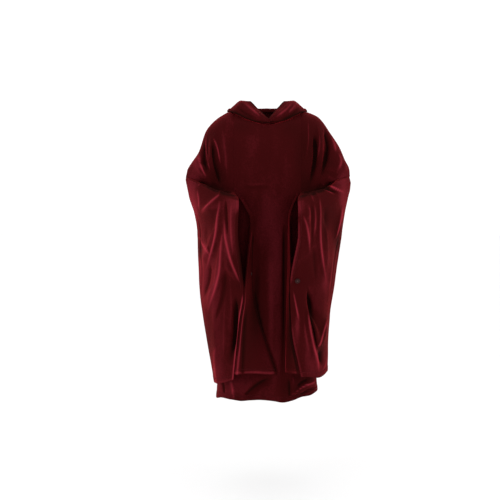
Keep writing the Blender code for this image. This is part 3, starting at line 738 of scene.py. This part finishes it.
def bell(offset, width):
    """One at the middle of a soft mound, and nearly nought two widths away."""
    return np.exp(-((offset / width) ** 2))


def neck_point(angle):
    """Point of the neck seam, by the angle from the front towards the left."""
    dip = ((1 + math.cos(angle)) / 2) ** NECK_DROP_POWER
    return np.array([
        NECK_HALF_WIDTH * math.sin(angle),
        NECK_CENTRE_Y - NECK_HALF_DEPTH * math.cos(angle),
        NECK_BACK_Z - NECK_DROP * dip,
    ])


def neck_angle(x, behind=False):
    """Angle at which the neck seam passes a distance x from the middle."""
    angle = math.asin(x / NECK_HALF_WIDTH)
    return math.pi - angle if behind else angle


def rounded(start, end, full, turn, count):
    """Section from start, square to the middle, round to end: full 2 is an oval, 1 a straight line."""
    across = np.sin(np.linspace(0.0, math.pi / 2, count + 1)) ** (2 / full)
    ahead = np.clip(1 - across**full, 0, 1) ** (1 / turn)
    x = start[0] + (end[0] - start[0]) * across
    y = end[1] + (start[1] - end[1]) * ahead
    z = start[2] + (end[2] - start[2]) * across
    return np.stack([x, y, z], axis=-1)


def panel_grid(table, behind):
    """Surface of the front or back panel, from its right edge to its left one. The neck seam is its top."""
    top_edge = neck_point(neck_angle(SEAM_X, behind))
    top_centre = neck_point(math.pi if behind else 0.0)
    middle = [top_centre] + [(0.0, row.centre_y, row.centre_z) for row in table]
    places = stops(middle, ROW_PITCH, table[-2].edge_z - table[-1].edge_z)
    edge = smooth([top_edge] + [row[EDGE] for row in table], places)
    centre = smooth(middle, places)
    shape = smooth([PANEL_TOP] + [(row.full, row.turn) for row in table], places)
    half = np.array([rounded(c, e, f, t, PANEL_COLUMNS // 2) for e, c, (f, t) in zip(edge, centre, shape)])
    half[0] = [neck_point(neck_angle(x, behind)) for x in half[0][:, 0]]
    left = half.copy()
    left[:, 1:, 0] -= SEAM_GAP / 2
    right = left[:, :0:-1] * [-1, 1, 1]
    return np.concatenate([right, left], axis=1)


def depth_reader(grid):
    """Reads the depth of a surface seen from the front at any x and z, from a regular table of it."""
    x_places = np.linspace(-READ_X, READ_X, 2 * READ_X // READ_PITCH + 1)
    z_places = np.linspace(READ_TOP, READ_FOOT, (READ_TOP - READ_FOOT) // READ_PITCH + 1)
    by_row = []
    for row in grid:
        order = np.argsort(row[:, 0])
        by_row.append([np.interp(x_places, row[order, 0], row[order, axis]) for axis in (1, 2)])
    by_row = np.array(by_row)[::-1]
    depth = np.array([np.interp(z_places, by_row[:, 1, i], by_row[:, 0, i]) for i in range(len(x_places))])

    def read(x, z):
        column = np.clip((np.asarray(x) + READ_X) / READ_PITCH, 0, len(x_places) - READ_END)
        row = np.clip((READ_TOP - np.asarray(z)) / READ_PITCH, 0, len(z_places) - READ_END)
        i, j = column.astype(int), row.astype(int)
        s, t = column - i, row - j
        upper = depth[i, j] * (1 - s) + depth[i + 1, j] * s
        lower = depth[i, j + 1] * (1 - s) + depth[i + 1, j + 1] * s
        return upper * (1 - t) + lower * t

    return read


def sleeve_rails(table, back_depth, side):
    """The lines that a sleeve hangs from: its front edge, its side and its back edge, with the fullness."""
    line = [neck_point(math.pi / 4)] + [np.add(row[EDGE], row[SIDE]) / 2 for row in table]
    places = stops(line, ROW_PITCH, table[-2].edge_z - table[-1].edge_z)
    seam_rows = len(CHEST_SEAM)
    upper = smooth([neck_point(neck_angle(SEAM_X))] + CHEST_SEAM, places[places <= seam_rows])
    slit = [row[EDGE] for row in table[seam_rows - 1:]]
    edge = np.concatenate([upper, smooth(slit, places[places > seam_rows] - seam_rows)])
    edge[:, 0] += SEAM_GAP / 2
    flank = smooth([neck_point(math.pi / 2)] + [row[SIDE] for row in table], places)
    back_top = neck_point(neck_angle(BACK_SEAM_X, True))
    back_z = smooth([back_top[2]] + [row.back_z for row in table], places)
    back_y = back_depth(side * BACK_SEAM_X, back_z)
    back = np.stack([np.full_like(back_z, BACK_SEAM_X), back_y, back_z], axis=-1)
    back[0] = back_top
    full = smooth([SLEEVE_TOP] + [(row.front_full, row.back_full) for row in table], places)
    return edge, flank, back, full


def sleeve_grid(table, back_depth, side):
    """Surface of a sleeve, from its front edge round the arm to the seam on the back panel."""
    rows = []
    for e, s, b, f in zip(*sleeve_rails(table, back_depth, side)):
        front = rounded(e, s, f[0], f[0], SLEEVE_FRONT_COLUMNS)
        behind = rounded(b, s, f[1], f[1], SLEEVE_BACK_COLUMNS)[::-1]
        rows.append(np.concatenate([front, behind[1:]]))
    grid = np.array(rows)
    ends = (neck_angle(SEAM_X), math.pi / 2, neck_angle(BACK_SEAM_X, True))
    angles = np.append(
        np.linspace(ends[0], ends[1], SLEEVE_FRONT_COLUMNS + 1),
        np.linspace(ends[1], ends[2], SLEEVE_BACK_COLUMNS + 1)[1:],
    )
    blend = SLEEVE_BACK_COLUMNS // 2
    near_back = np.clip(np.arange(len(angles)) - len(angles) + blend, 0, None) / (blend - 1)
    grid[0, 1:] = [neck_point(angle) for angle in angles[1:]] + near_back[1:, None] * BACK_TOP_LIFT
    grid[:, :, 0] *= side
    return grid


def flap_grid(table, front_depth, sleeve_edge, side):
    """Surface of a front flap: its inner edge lies on the panel, and its outer one stands forward.

    Below the hand slit the outer edge follows the edge of the sleeve.
    """
    line = [(row.outer_x, row.outer_y, row.z) for row in table]
    rows = smooth(table, stops(line, ROW_PITCH, table[-2].z - table[-1].z))
    share = np.linspace(0.0, 1.0, FLAP_COLUMNS + 1)
    grid = []
    for z, outer_x, outer_y, inner_x, lift in rows:
        if z < table[SLIT_FOOT].z:
            outer_x, outer_y = (np.interp(-z, -sleeve_edge[:, 2], sleeve_edge[:, axis]) for axis in (0, 1))
        outer_x, outer_y = outer_x + FLAP_RIDGE[0], outer_y + FLAP_RIDGE[1]
        inner_y = front_depth(side * inner_x, z) - lift
        x = outer_x + (inner_x - outer_x) * share
        y = outer_y + (inner_y - outer_y) * share**FLAP_BOW
        on_panel = front_depth(side * x, z) - FLAP_LIFT
        grid.append(np.stack([side * x, np.minimum(y, on_panel), np.full_like(x, z)], axis=-1))
    return np.array(grid)


def between(ends, share):
    """Value a share of the way from the first of two ends to the second."""
    return ends[0] + (ends[1] - ends[0]) * share


def hood_grid(side, lap):
    """Surface of half the hood, from its end at the front round to the seam at the middle of the back.

    With it comes the shade where its roll meets the chest.
    """
    points = []
    for row in HOOD:
        angle = math.radians(row.angle)
        outward = np.array([math.sin(angle), -math.cos(angle), 0.0])
        seam = neck_point(angle)
        behind = row.angle / HOOD[-1].angle
        base = seam - outward * HOOD_INSET - [0, 0, HOOD_TUCK]
        over = seam - outward * HOOD_INSET + [0, 0, HOOD_OVER]
        lifted = seam + outward * between(HOOD_CLEAR, behind) + [0, 0, between(HOOD_RISE, behind)]
        points.append([base, over, lifted, row.low, row.fold, row.high, row.edge])
    across = stops([row.fold for row in HOOD], HOOD_PITCH)
    net = smooth(np.array(points, float), across)
    down = stops(points[HOOD_FULLEST], HOOD_PITCH)
    grid = smooth(net.transpose(1, 0, 2), down)
    angles = smooth([row.angle for row in HOOD], across)
    near_front = np.clip(1 - angles / HOOD_LAP_ANGLE, 0, 1)
    share = np.linspace(1.0, HOOD_LAP_FOOT, len(grid))[:, None]
    under = (1 - lap) * HOOD_UNDER * near_front**HOOD_UNDER_POWER
    grid -= outward_normals(grid) * under[:, None]
    grid[:, :, 0] += np.where(near_front > 0, HOOD_APART_X, 0.0) * (1 - lap)
    grid[:, :, 0] -= lap * HOOD_LAP_X * near_front**2 * share
    grid[:, -1, 0] = HOOD_SEAM_X
    grid[:, :, 0] *= side
    row, height, depth = HOOD_SHADE
    end, fade = HOOD_SHADE_ANGLES
    return grid, -depth * (bell(down - row, height)[:, None] * ease((end - angles) / fade))


def outward_normals(grid):
    """Direction square to a surface at each of its points, away from the middle of the cloak."""
    normal = np.cross(np.gradient(grid, axis=1), np.gradient(grid, axis=0))
    normal = normal / np.maximum(np.linalg.norm(normal, axis=2, keepdims=True), 1e-9)
    away = (normal[:, :, :2] * grid[:, :, :2]).sum()
    return normal * math.copysign(1.0, away)


def run_from(grid, edge):
    """Distance along the cloth from one of its edges to each of its points."""
    axis = 0 if edge in ("top", "foot") else 1
    steps = np.diff(grid, axis=axis, prepend=grid.take([0], axis=axis))
    run = np.cumsum(np.linalg.norm(steps, axis=2), axis=axis)
    if edge in ("foot", "end"):
        run = run.take([-1], axis=axis) - run
    return run


def line_distance(grid, face, points):
    """Distance from a line drawn on one face, and how far along it the nearest place is."""
    x, z = grid[:, :, face.across], grid[:, :, face.up]
    best = np.full(x.shape, np.inf)
    along = np.zeros(x.shape)
    for piece in range(len(points) - 1):
        start, run = points[piece], points[piece + 1] - points[piece]
        share = np.clip(((x - start[0]) * run[0] + (z - start[1]) * run[1]) / run.dot(run), 0, 1)
        distance = np.hypot(x - start[0] - share * run[0], z - start[1] - share * run[1])
        nearer = distance < best
        best = np.where(nearer, distance, best)
        along = np.where(nearer, (piece + share) / (len(points) - 1), along)
    return best, along


def folds_of(table, name):
    """Each fold of a piece in a table, with its face and the points that it runs through."""
    for (piece, face), rows in table.items():
        for row in rows if piece == name else []:
            yield FACES[face], Fold(*row), np.array(row[:6], float).reshape(3, 2)


def facing(normal, face):
    """How squarely each point of a surface looks out of a face."""
    look = normal[:, :, face.out]
    look = look * face.way if face.way else abs(look)
    return np.clip(look * 2 - face.slack, 0, 1)


def faded(along, fold, face, name, share):
    """One along a fold, and less by its ends. One that runs into the hem keeps its foot."""
    fade = ease(along / share)
    if face == FACES["top"] or fold.z_foot > DRESS[name].hem_z + HEM_MARGIN:
        fade = fade * ease((1 - along) / share)
    return fade


def folded(name, grid):
    """Surface with its large folds raised along its own outward direction, as on the solids."""
    normal = outward_normals(grid)
    raised = 0.0
    for face, fold, points in folds_of(LARGE_FOLDS, name):
        distance, along = line_distance(grid, face, points)
        profile = bell(distance, fold.width)
        if fold.height > 0:
            profile = np.exp(-(np.hypot(distance, CREST_ROUND) - CREST_ROUND) / fold.width)
        fade = faded(along, fold, face, name, FOLD_FADE)
        raised = raised + FOLD_SHARE * fold.height * profile * facing(normal, face) * fade
    first, last = FOLD_HELD[name]
    held = np.minimum(run_from(grid, "start") / first, 1) * np.minimum(run_from(grid, "end") / last, 1)
    raised = raised * ease(held) * ease(run_from(grid, "top") / TOP_HELD)
    return grid + normal * raised[:, :, None]


def hung(name, grid):
    """Surface whose hem hangs unevenly: each dip fades out up the cloth."""
    above = grid[:, :, 2] - grid[-1:, :, 2]
    near = np.clip(1 - above / HEM_REACH, 0, 1) ** 2
    foot = grid[-1, :, 0]
    lowered = grid.copy()
    lowered[:, :, 2] -= near * sum(dip.drop * bell(foot - dip.x, dip.width) for dip in HEM_DIPS.get(name, []))
    return lowered


def creased(name, grid, held):
    """Height of the smaller creases, with the highlights painted on their crests and the shade painted in
    their valleys.
    """
    normal = outward_normals(grid)
    raised = marks_and_painted_shading = 0.0
    ends, middle = CREASE_WIDTH
    base, added, peak, spread = CREST_SWELL
    for face, crease, points in folds_of(CREASES, name):
        distance, along = line_distance(grid, face, smooth(points, np.linspace(0, 2, PATH_POINTS)))
        fade = faded(along, crease, face, name, CREASE_FADE) * facing(normal, face)
        width = crease.width * (ends + middle * np.sin(np.pi * np.clip(along, *CREASE_ENDS)))
        if crease.height > 0:
            height, power = crease.height * CREST_SHARE, CREST_CRISP
            line, swell = MARK_WIDTH + MARK_SHARE * width, base + added * bell(along - peak, spread)
        else:
            height, power = crease.height, VALLEY_CRISP
            line, swell = VALLEY_SHARE * width, 1.0
        raised = raised + height * np.exp(-((distance / width) ** power)) * fade
        # Painted highlight along a crest, painted shade along a valley
        marks_and_painted_shading = marks_and_painted_shading + crease.mark * np.exp(-((distance / line) ** power)) * fade * swell
    return raised * held, marks_and_painted_shading * np.sqrt(held)


def waves(grid, seed, size, depth):
    """Soft uneven waves, longer down the cloth than across it."""
    share, closer_across, closer_down = FINE_WAVES
    across = run_from(grid, "start") / size[0]
    down = grid[:, :, 2] / size[1]
    out = np.zeros(grid.shape[:2])
    for place in np.ndindex(out.shape):
        a, b = across[place], down[place]
        fine = noise.noise(Vector((a * closer_across, b * closer_down, seed + FINE_SEED)))
        out[place] = noise.noise(Vector((a, b, seed))) + share * fine
    return out * depth


def hem(grid, edge, depth, mask=1.0):
    """Height of a turned hem: it stands a little proud as far as its stitches, which pull a groove."""
    run = run_from(grid, edge)
    before, length = HEM_TURN
    swell = HEM_SWELL * (1 - ease((run - depth + before) / length))
    return (swell - GROOVE_DEPTH * bell(run - depth, GROOVE_WIDTH)) * mask


def seam(grid, edge, mask=1.0):
    """Depth of a sewn seam, where both pieces of cloth turn in."""
    return -SEAM_DEPTH * bell(run_from(grid, edge), SEAM_WIDTH) * mask


def clear_of(grid, place):
    """Nought under a press stud, and one away from it."""
    near, far = SNAP_CLEAR
    distance = np.hypot(grid[:, :, 0] - place[0], grid[:, :, 2] - place[1])
    return ease((distance - near) / (far - near))


def relaxed(values, rounds):
    """Values over a surface, each evened out by half with its four neighbours."""
    for _ in range(rounds):
        padded = np.pad(values, 1, mode="edge")
        beside = padded[:-2, 1:-1] + padded[2:, 1:-1] + padded[1:-1, :-2] + padded[1:-1, 2:]
        values = values * 0.5 + beside * 0.125
    return values


def edge_shading(name, grid):
    """Painted highlights and painted shadows in lines beside the edges of a piece."""
    marks_and_painted_shading = 0.0
    z = grid[:, :, 2]
    for shaded_line in EDGE_SHADING.get(name, []):
        line = bell(run_from(grid, shaded_line.edge) - shaded_line.inset, shaded_line.width)
        line = line * ease((shaded_line.z_top - z) / EDGE_SHADING_FADE) * ease((z - shaded_line.z_foot) / EDGE_SHADING_FADE)
        marks_and_painted_shading = marks_and_painted_shading + shaded_line.mark * line
    return marks_and_painted_shading


def shading_patches(name, grid):
    """Soft patches of painted light and painted shade on a piece, on the side that faces the front."""
    seen = 1.0 if "flap" in name else ease(outward_normals(grid)[:, :, 1] * PATCH_TURN)
    marks_and_painted_shading = 0.0
    for patch in (ShadingPatch(*row) for row in SHADING_PATCHES.get(name, [])):
        across = (grid[:, :, 0] - patch.x) / patch.width
        down = (grid[:, :, 2] - patch.z) / patch.height
        marks_and_painted_shading = marks_and_painted_shading + patch.mark * np.exp(-(across**2) - down**2) * seen
    return marks_and_painted_shading


def crest_shade(grid):
    """Dark line where the cloth turns over the top of the forearm."""
    level, steep, mark = CREST_SHADE
    top, foot = CREST_BAND
    rise = outward_normals(grid)[:, :, 2]
    y, z = grid[:, :, 1], grid[:, :, 2]
    band = ease((top - z) / CREST_FADE) * ease((z - foot) / CREST_FADE)
    return mark * ease((rise - level) / (steep - level)) * band * ease((CREST_FRONT_Y - y) / CREST_FADE)


def edges_of(name, grid):
    """The hems and the seams of a piece, with where they run, and where its creases are held back."""
    dress = DRESS[name]
    hems, seams, held = [("foot", dress.hem)], [(edge,) for edge in dress.seams], 1.0
    for edge, reach in dress.held.items():
        held = held * ease(run_from(grid, edge) / reach)
    if name in SLIT_END:
        z, start = grid[:, :, 2], run_from(grid, "start")
        least, rest, reach = SLIT_HELD
        by_slit = least + rest * ease(start / reach)
        held = held * np.where(z < ARM_Z, by_slit, ease(start / CHEST_HELD))
        slit = ease((SLIT_TOP - z) / SLIT_FADE) * ease((z - SLIT_END[name]) / SLIT_FADE)
        hems.append(("start", SLIT_HEM, slit))
        seams.insert(0, ("start", 1 - ease((CHEST_END[0] - z) / CHEST_END[1])))
    return hems, seams, held


def dressed(name, grid, shade):
    """The surface of a piece with its creases, waves, hems and seams, and the light and shade painted on each
    point from how far it stands out and from its painted lines and patches.
    """
    grid = hung(name, grid)
    hems, seams, held = edges_of(name, grid)
    lift, marks_and_painted_shading = creased(name, grid, held)
    lift = lift + waves(grid, *DRESS[name].waves) * held
    if name in SNAPS:
        lift = lift * clear_of(grid, SNAPS[name])
    lift = relaxed(lift, 1)
    sewn = sum(hem(grid, *one) for one in hems) + sum(seam(grid, *one) for one in seams)
    surface = grid + outward_normals(grid) * (lift + sewn)[:, :, None]
    even = np.stack([relaxed(surface[:, :, axis], EVEN_ROUNDS) for axis in range(3)], axis=-1)
    stand = ((surface - even) * outward_normals(surface)).sum(axis=2)
    marks_and_painted_shading = marks_and_painted_shading + edge_shading(name, grid) + shading_patches(name, grid) + shade
    # Painted highlight where the cloth stands out and painted shade where it sinks in, added to the other
    # painted light and shade
    return surface, np.clip(stand / STAND_HEIGHT * STAND_SHARE + marks_and_painted_shading, -1, 1)


def new_piece(name, shape, finish):
    """Object with the faces of a bmesh and one finish, shaded smooth."""
    mesh = bpy.data.meshes.new(name)
    shape.to_mesh(mesh)
    shape.free()
    mesh.shade_smooth()
    mesh.materials.append(finish)
    piece = bpy.data.objects.new(name, mesh)
    bpy.context.scene.collection.objects.link(piece)
    return piece


def cloth_mesh(name, grid, painted_light_and_shade, finish):
    """Sheet of cloth through a grid of points, with the wall of the fleece and the light and shade painted on
    its crests and valleys.
    """
    rows, columns = grid.shape[:2]
    shape = bmesh.new()
    bmesh.ops.create_grid(shape, x_segments=columns - 1, y_segments=rows - 1, size=1.0)
    for vert, point in zip(shape.verts, grid.reshape(-1, 3) * MM):
        vert.co = point
    bmesh.ops.recalc_face_normals(shape, faces=shape.faces)
    piece = new_piece(name, shape, finish)
    marks_and_painted_shading = piece.data.attributes.new("painted_light_and_shade", "FLOAT", "POINT")
    marks_and_painted_shading.data.foreach_set("value", np.ascontiguousarray(painted_light_and_shade.reshape(-1), dtype=np.float32))
    wall = piece.modifiers.new("wall", "SOLIDIFY")
    wall.thickness = WALL * MM
    wall.offset = 0.0
    return piece


def line_in_cloth(grid, edge, inset, low=-math.inf, high=math.inf):
    """Points along a line of stitches at a set distance from an edge of the cloth, with their normals."""
    run = run_from(grid, edge)
    places = np.concatenate([grid, outward_normals(grid)], axis=2)
    if edge == "foot":
        run, places = run.T, places.transpose(1, 0, 2)
    points = []
    for distance, line in zip(run, places):
        order = np.argsort(distance)
        point = [np.interp(inset, distance[order], line[order, axis]) for axis in range(6)]
        if low < point[2] < high:
            points.append(point)
    return np.array(points)


def stitch_lines(name, grid):
    """Lines of stitches along the hems of a piece."""
    lines = [line_in_cloth(grid, "foot", DRESS[name].hem)]
    if name in SLIT_END:
        above, top = SLIT_STITCHES
        lines.append(line_in_cloth(grid, "start", SLIT_HEM, SLIT_END[name] + above, top))
    return lines


def thread(name, lines, finish):
    """Short stitches laid one after another along lines in the cloth."""
    shape = bmesh.new()
    size = Matrix.Diagonal((*THREAD_SIZE, 1.0))
    for line in lines:
        run = np.concatenate([[0], np.cumsum(np.linalg.norm(np.diff(line[:, :3], axis=0), axis=1))])
        for distance in np.arange(THREAD_PITCH, run[-1] - THREAD_PITCH / 2, THREAD_PITCH):
            here = np.array([np.interp(distance, run, line[:, axis]) for axis in range(6)])
            ahead = np.array([np.interp(distance + 1, run, line[:, axis]) for axis in range(3)])
            out = Vector(here[3:]).normalized()
            along = Vector(ahead - here[:3]).normalized()
            along = (along - out * along.dot(out)).normalized()
            turn = Matrix((along, out.cross(along), out)).transposed().to_4x4()
            place = Matrix.Translation((Vector(here[:3]) + out * (WALL / 2 + THREAD_LIFT)) * MM)
            bmesh.ops.create_uvsphere(
                shape, u_segments=6, v_segments=4, radius=MM, matrix=place @ turn @ size,
            )
    piece = new_piece(name, shape, finish)
    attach(piece, "root")
    return piece


def stud_place(node):
    """Middle of a press stud's solid and the direction that it faces, from its mesh."""
    points = np.array([vert.co for vert in bpy.data.objects[node].data.vertices])
    middle = points.mean(axis=0)
    _, _, axes = np.linalg.svd(points - middle)
    direction = Vector(axes[2])
    if direction.y > 0:
        direction.negate()
    return Vector(middle), direction


def turned_piece(name, node, profile, finish):
    """Round piece on a press stud, spun from its profile of radii and heights in millimetres."""
    middle, direction = stud_place(node)
    shape = bmesh.new()
    verts = [shape.verts.new((radius * MM, 0, height * MM)) for radius, height in profile]
    edges = [shape.edges.new(pair) for pair in zip(verts[:-1], verts[1:])]
    bmesh.ops.spin(
        shape, geom=verts + edges, cent=(0, 0, 0), axis=(0, 0, 1), angle=math.tau, steps=TURNED_STEPS,
        use_merge=True,
    )
    bmesh.ops.remove_doubles(shape, verts=shape.verts, dist=1e-6)
    bmesh.ops.recalc_face_normals(shape, faces=shape.faces)
    turn = direction.to_track_quat("Z", "Y").to_matrix().to_4x4()
    bmesh.ops.transform(shape, matrix=Matrix.Translation(middle) @ turn, verts=shape.verts)
    piece = new_piece(name, shape, finish)
    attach(piece, "root")
    return piece


def feed(tree, node, inputs):
    """Sets inputs of a node, by their names or places, to a value or to an output of another node."""
    for name, value in inputs.items():
        if isinstance(value, bpy.types.NodeSocket):
            tree.links.new(value, node.inputs[name])
        else:
            node.inputs[name].default_value = value


def node_in(tree, kind, inputs=None, **settings):
    """New node with its settings and inputs, placed to the right of the ones before it."""
    node = tree.nodes.new(kind)
    node.location = (NODE_PITCH * len(tree.nodes), 0)
    for name, value in settings.items():
        setattr(node, name, value)
    feed(tree, node, inputs or {})
    return node


def texture_place(tree):
    """Place on the object, as a texture reads it."""
    return node_in(tree, "ShaderNodeTexCoord").outputs["Object"]


def clouds(tree, **inputs):
    """Soft noise, from nought to one."""
    named = {name.capitalize(): value for name, value in inputs.items()}
    return node_in(tree, "ShaderNodeTexNoise", named).outputs["Fac"]


def maths(tree, operation, *terms):
    """Result of one operation on its terms."""
    return node_in(tree, "ShaderNodeMath", dict(enumerate(terms)), operation=operation).outputs[0]


def ranged(tree, value, start, end, low=0.0, high=1.0):
    """Value moved from one range to another, and kept within it."""
    inputs = {"Value": value, "From Min": start, "From Max": end, "To Min": low, "To Max": high}
    return node_in(tree, "ShaderNodeMapRange", inputs).outputs["Result"]


def blended(tree, factor, start, end):
    """Colour a share of the way from one colour to another."""
    inputs = {"Factor": factor, "A": start, "B": end}
    return node_in(tree, "ShaderNodeMix", inputs, data_type="RGBA").outputs["Result"]


def nap_and_shading_group():
    """Short pile of the fleece: its colour, with highlights painted on ridges and shade painted in valleys,
    lighter where it is brushed, and its height.
    """
    tree = bpy.data.node_groups.new("fleece_nap_and_painted_shading", "ShaderNodeTree")
    for name, kind, way in (
        ("Shade_Colour", "Color", "INPUT"),
        ("Body", "Color", "INPUT"),
        ("Highlight_Colour", "Color", "INPUT"),
        ("Light_And_Shade", "Float", "INPUT"),
        ("Color", "Color", "OUTPUT"),
        ("Height", "Float", "OUTPUT"),
    ):
        tree.interface.new_socket(name, in_out=way, socket_type="NodeSocket" + kind)
    given = node_in(tree, "NodeGroupInput").outputs
    place = texture_place(tree)
    pile = clouds(tree, vector=place, scale=900.0, detail=3.0, roughness=0.65)
    tufts = clouds(tree, vector=place, scale=190.0, detail=4.0)
    stretched = node_in(tree, "ShaderNodeMapping", {"Vector": place, "Scale": (1.6, 1.6, 0.55)})
    brushed = clouds(
        tree, vector=stretched.outputs["Vector"], scale=9.0, detail=5.0, roughness=0.6, distortion=0.4,
    )
    streaks = maths(tree, "MULTIPLY", maths(tree, "SUBTRACT", brushed, 0.5), BRUSHING)
    light_and_shade_in = maths(tree, "ADD", given["Light_And_Shade"], streaks)
    total = maths(tree, "ADD", light_and_shade_in, maths(tree, "MULTIPLY_ADD", tufts, *SPECKS))
    # Painted shade blends the colour towards the dark one, painted highlights towards the light one
    low = blended(tree, ranged(tree, total, -1.0, 0.0), given["Shade_Colour"], given["Body"])
    high = blended(tree, ranged(tree, total, 0.0, 1.0), low, given["Highlight_Colour"])
    height = maths(tree, "MULTIPLY_ADD", tufts, 0.8, pile)
    node_in(tree, "NodeGroupOutput", {"Color": high, "Height": height})
    return tree


def new_material(name, inputs):
    """Material with inputs of its surface shader set, and with it its graph and that shader."""
    material = bpy.data.materials.new(name)
    material.use_nodes = True
    tree = material.node_tree
    shader = tree.nodes["Principled BSDF"]
    feed(tree, shader, inputs)
    return material, tree, shader


def fleece(name, nap_and_shading):
    """Soft red fleece with shade painted in its valleys and highlights painted on its crests, and the sheen
    of a short pile.
    """
    material, tree, shader = new_material(name, {
        "Roughness": 0.95,
        "Specular IOR Level": 0.03,
        "Sheen Roughness": 0.38,
        "Sheen Tint": (0.62, 0.024, 0.036, 1),
    })
    # Painted light and shade stored on the cloth's points
    light_and_shade_in = node_in(tree, "ShaderNodeAttribute", attribute_name="painted_light_and_shade").outputs["Fac"]
    pile = node_in(tree, "ShaderNodeGroup", node_tree=nap_and_shading)
    feed(tree, pile, {"Shade_Colour": FLEECE_PAINTED_SHADE, "Body": FLEECE_BODY, "Highlight_Colour": FLEECE_PAINTED_HIGHLIGHT, "Light_And_Shade": light_and_shade_in})
    height = pile.outputs["Height"]
    bump = node_in(tree, "ShaderNodeBump", {"Strength": 0.5, "Distance": 0.0012, "Height": height})
    feed(tree, shader, {
        # The sheen weakens with the painted shade, so the valleys go darker
        "Sheen Weight": ranged(tree, light_and_shade_in, -1.0, 0.2, *SHEEN),
        "Base Color": pile.outputs["Color"],
        "Normal": bump.outputs["Normal"],
    })
    return material


def metal(name, colour, roughness, worn):
    """Plated metal of a press stud, with fine marks and rubbed patches."""
    material, tree, shader = new_material(name, {"Metallic": 1.0})
    marks_and_painted_shading = clouds(tree, vector=texture_place(tree), scale=700.0, detail=6.0)
    feed(tree, shader, {
        "Base Color": blended(tree, marks_and_painted_shading, (*colour, 1), (*worn, 1)),
        "Roughness": ranged(tree, marks_and_painted_shading, 0.0, 1.0, roughness - 0.1, roughness + 0.15),
    })
    return material


def plain(name, colour, roughness, shine=0.5):
    """Material of one colour."""
    inputs = {"Base Color": (*colour, 1), "Roughness": roughness, "Specular IOR Level": shine}
    return new_material(name, inputs)[0]


def floor():
    """Pale round floor under the cloak."""
    shape = bmesh.new()
    bmesh.ops.create_circle(shape, cap_ends=True, segments=96, radius=FLOOR_RADIUS)
    bmesh.ops.translate(shape, verts=shape.verts, vec=(0, 0, FLOOR_Z))
    new_piece("floor", shape, plain("pale_floor", (0.9, 0.9, 0.9), 0.9))


def soft_light(name, place, power):
    """Upright lamp panel that faces the middle of the cloak."""
    data = bpy.data.lights.new(name, "AREA")
    data.shape = "RECTANGLE"
    data.size, data.size_y = LIGHT_SIZE
    data.energy = power
    lamp = bpy.data.objects.new(name, data)
    lamp.location = place
    lamp.rotation_euler = (Vector(LIGHT_TARGET) - Vector(place)).to_track_quat("-Z", "Y").to_euler()
    bpy.context.scene.collection.objects.link(lamp)


def studio():
    """White air all round and a lamp on each side."""
    world = bpy.data.worlds.new("studio")
    bpy.context.scene.world = world
    world.use_nodes = True
    feed(world.node_tree, world.node_tree.nodes["Background"], AIR)
    bpy.context.scene.view_settings.view_transform = "Standard"
    for name, (place, power) in LIGHTS.items():
        soft_light(name, place, power)


def camera():
    """Camera at chest height in front of the cloak, a little tilted down."""
    data = bpy.data.cameras.new("camera")
    data.lens = LENS
    data.sensor_width = 36.0
    eye = bpy.data.objects.new("camera", data)
    eye.location = EYE
    eye.rotation_euler = (math.pi / 2 - VIEW_DROP, 0, 0)
    bpy.context.scene.collection.objects.link(eye)
    bpy.context.scene.camera = eye


def bare_cloth():
    """Surface and shade of each piece before it is dressed, worked out in the order in which they meet."""
    front = folded("front_panel", panel_grid(FRONT_PANEL, False))
    back = folded("back_panel", panel_grid(BACK_PANEL, True))
    before = depth_reader(front)
    behind = depth_reader(back + outward_normals(back) * BACK_LIFT)
    bare = {"front_panel": (front, 0.0), "back_panel": (back, 0.0)}
    sides = (("right", -1, RIGHT_SLEEVE, RIGHT_FLAP), ("left", 1, LEFT_SLEEVE, LEFT_FLAP))
    for hand, side, sleeve, _ in sides:
        name = hand + "_sleeve"
        grid = folded(name, sleeve_grid(sleeve, behind, side))
        bare[name] = grid, crest_shade(hung(name, grid))
    for hand, side, sleeve, flap in sides:
        edge = sleeve_rails(sleeve, behind, side)[0]
        bare[hand + "_front_flap"] = flap_grid(flap, before, edge, side), 0.0
    bare["hood_right"] = hood_grid(-1, 1)
    bare["hood_left"] = hood_grid(1, 0)
    return bare


red = fleece("cloak_fleece", nap_and_shading_group())
sewing = plain("sewing_thread", (0.085, 0.0075, 0.011), 0.8, 0.1)
made = {name: dressed(name, grid, shade) for name, (grid, shade) in bare_cloth().items()}
# The second value of each piece is its painted light and shade
for name, (grid, stand) in made.items():
    piece = cloth_mesh(name + "_cloth", grid, stand, red)
    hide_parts(name)
    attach(piece, "root")
for name, cut in CUTS.items():
    stitches = thread(name + "_stitches", stitch_lines(name, made[name][0]), sewing)

dark_metal = metal("dark_stud_metal", (0.02, 0.008, 0.008), 0.45, (0.045, 0.02, 0.019))
grey_metal = metal("grey_stud_metal", (0.055, 0.027, 0.026), 0.42, (0.09, 0.05, 0.048))
ring = turned_piece("left_snap_ring", "left_snap", STUD_RING, dark_metal)
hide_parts("left_snap")
turned_piece("left_snap_post", "left_snap", STUD_POST, grey_metal)
socket = turned_piece("right_snap_socket", "right_snap", SOCKET_RING, grey_metal)
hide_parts("right_snap")

floor()
studio()
camera()
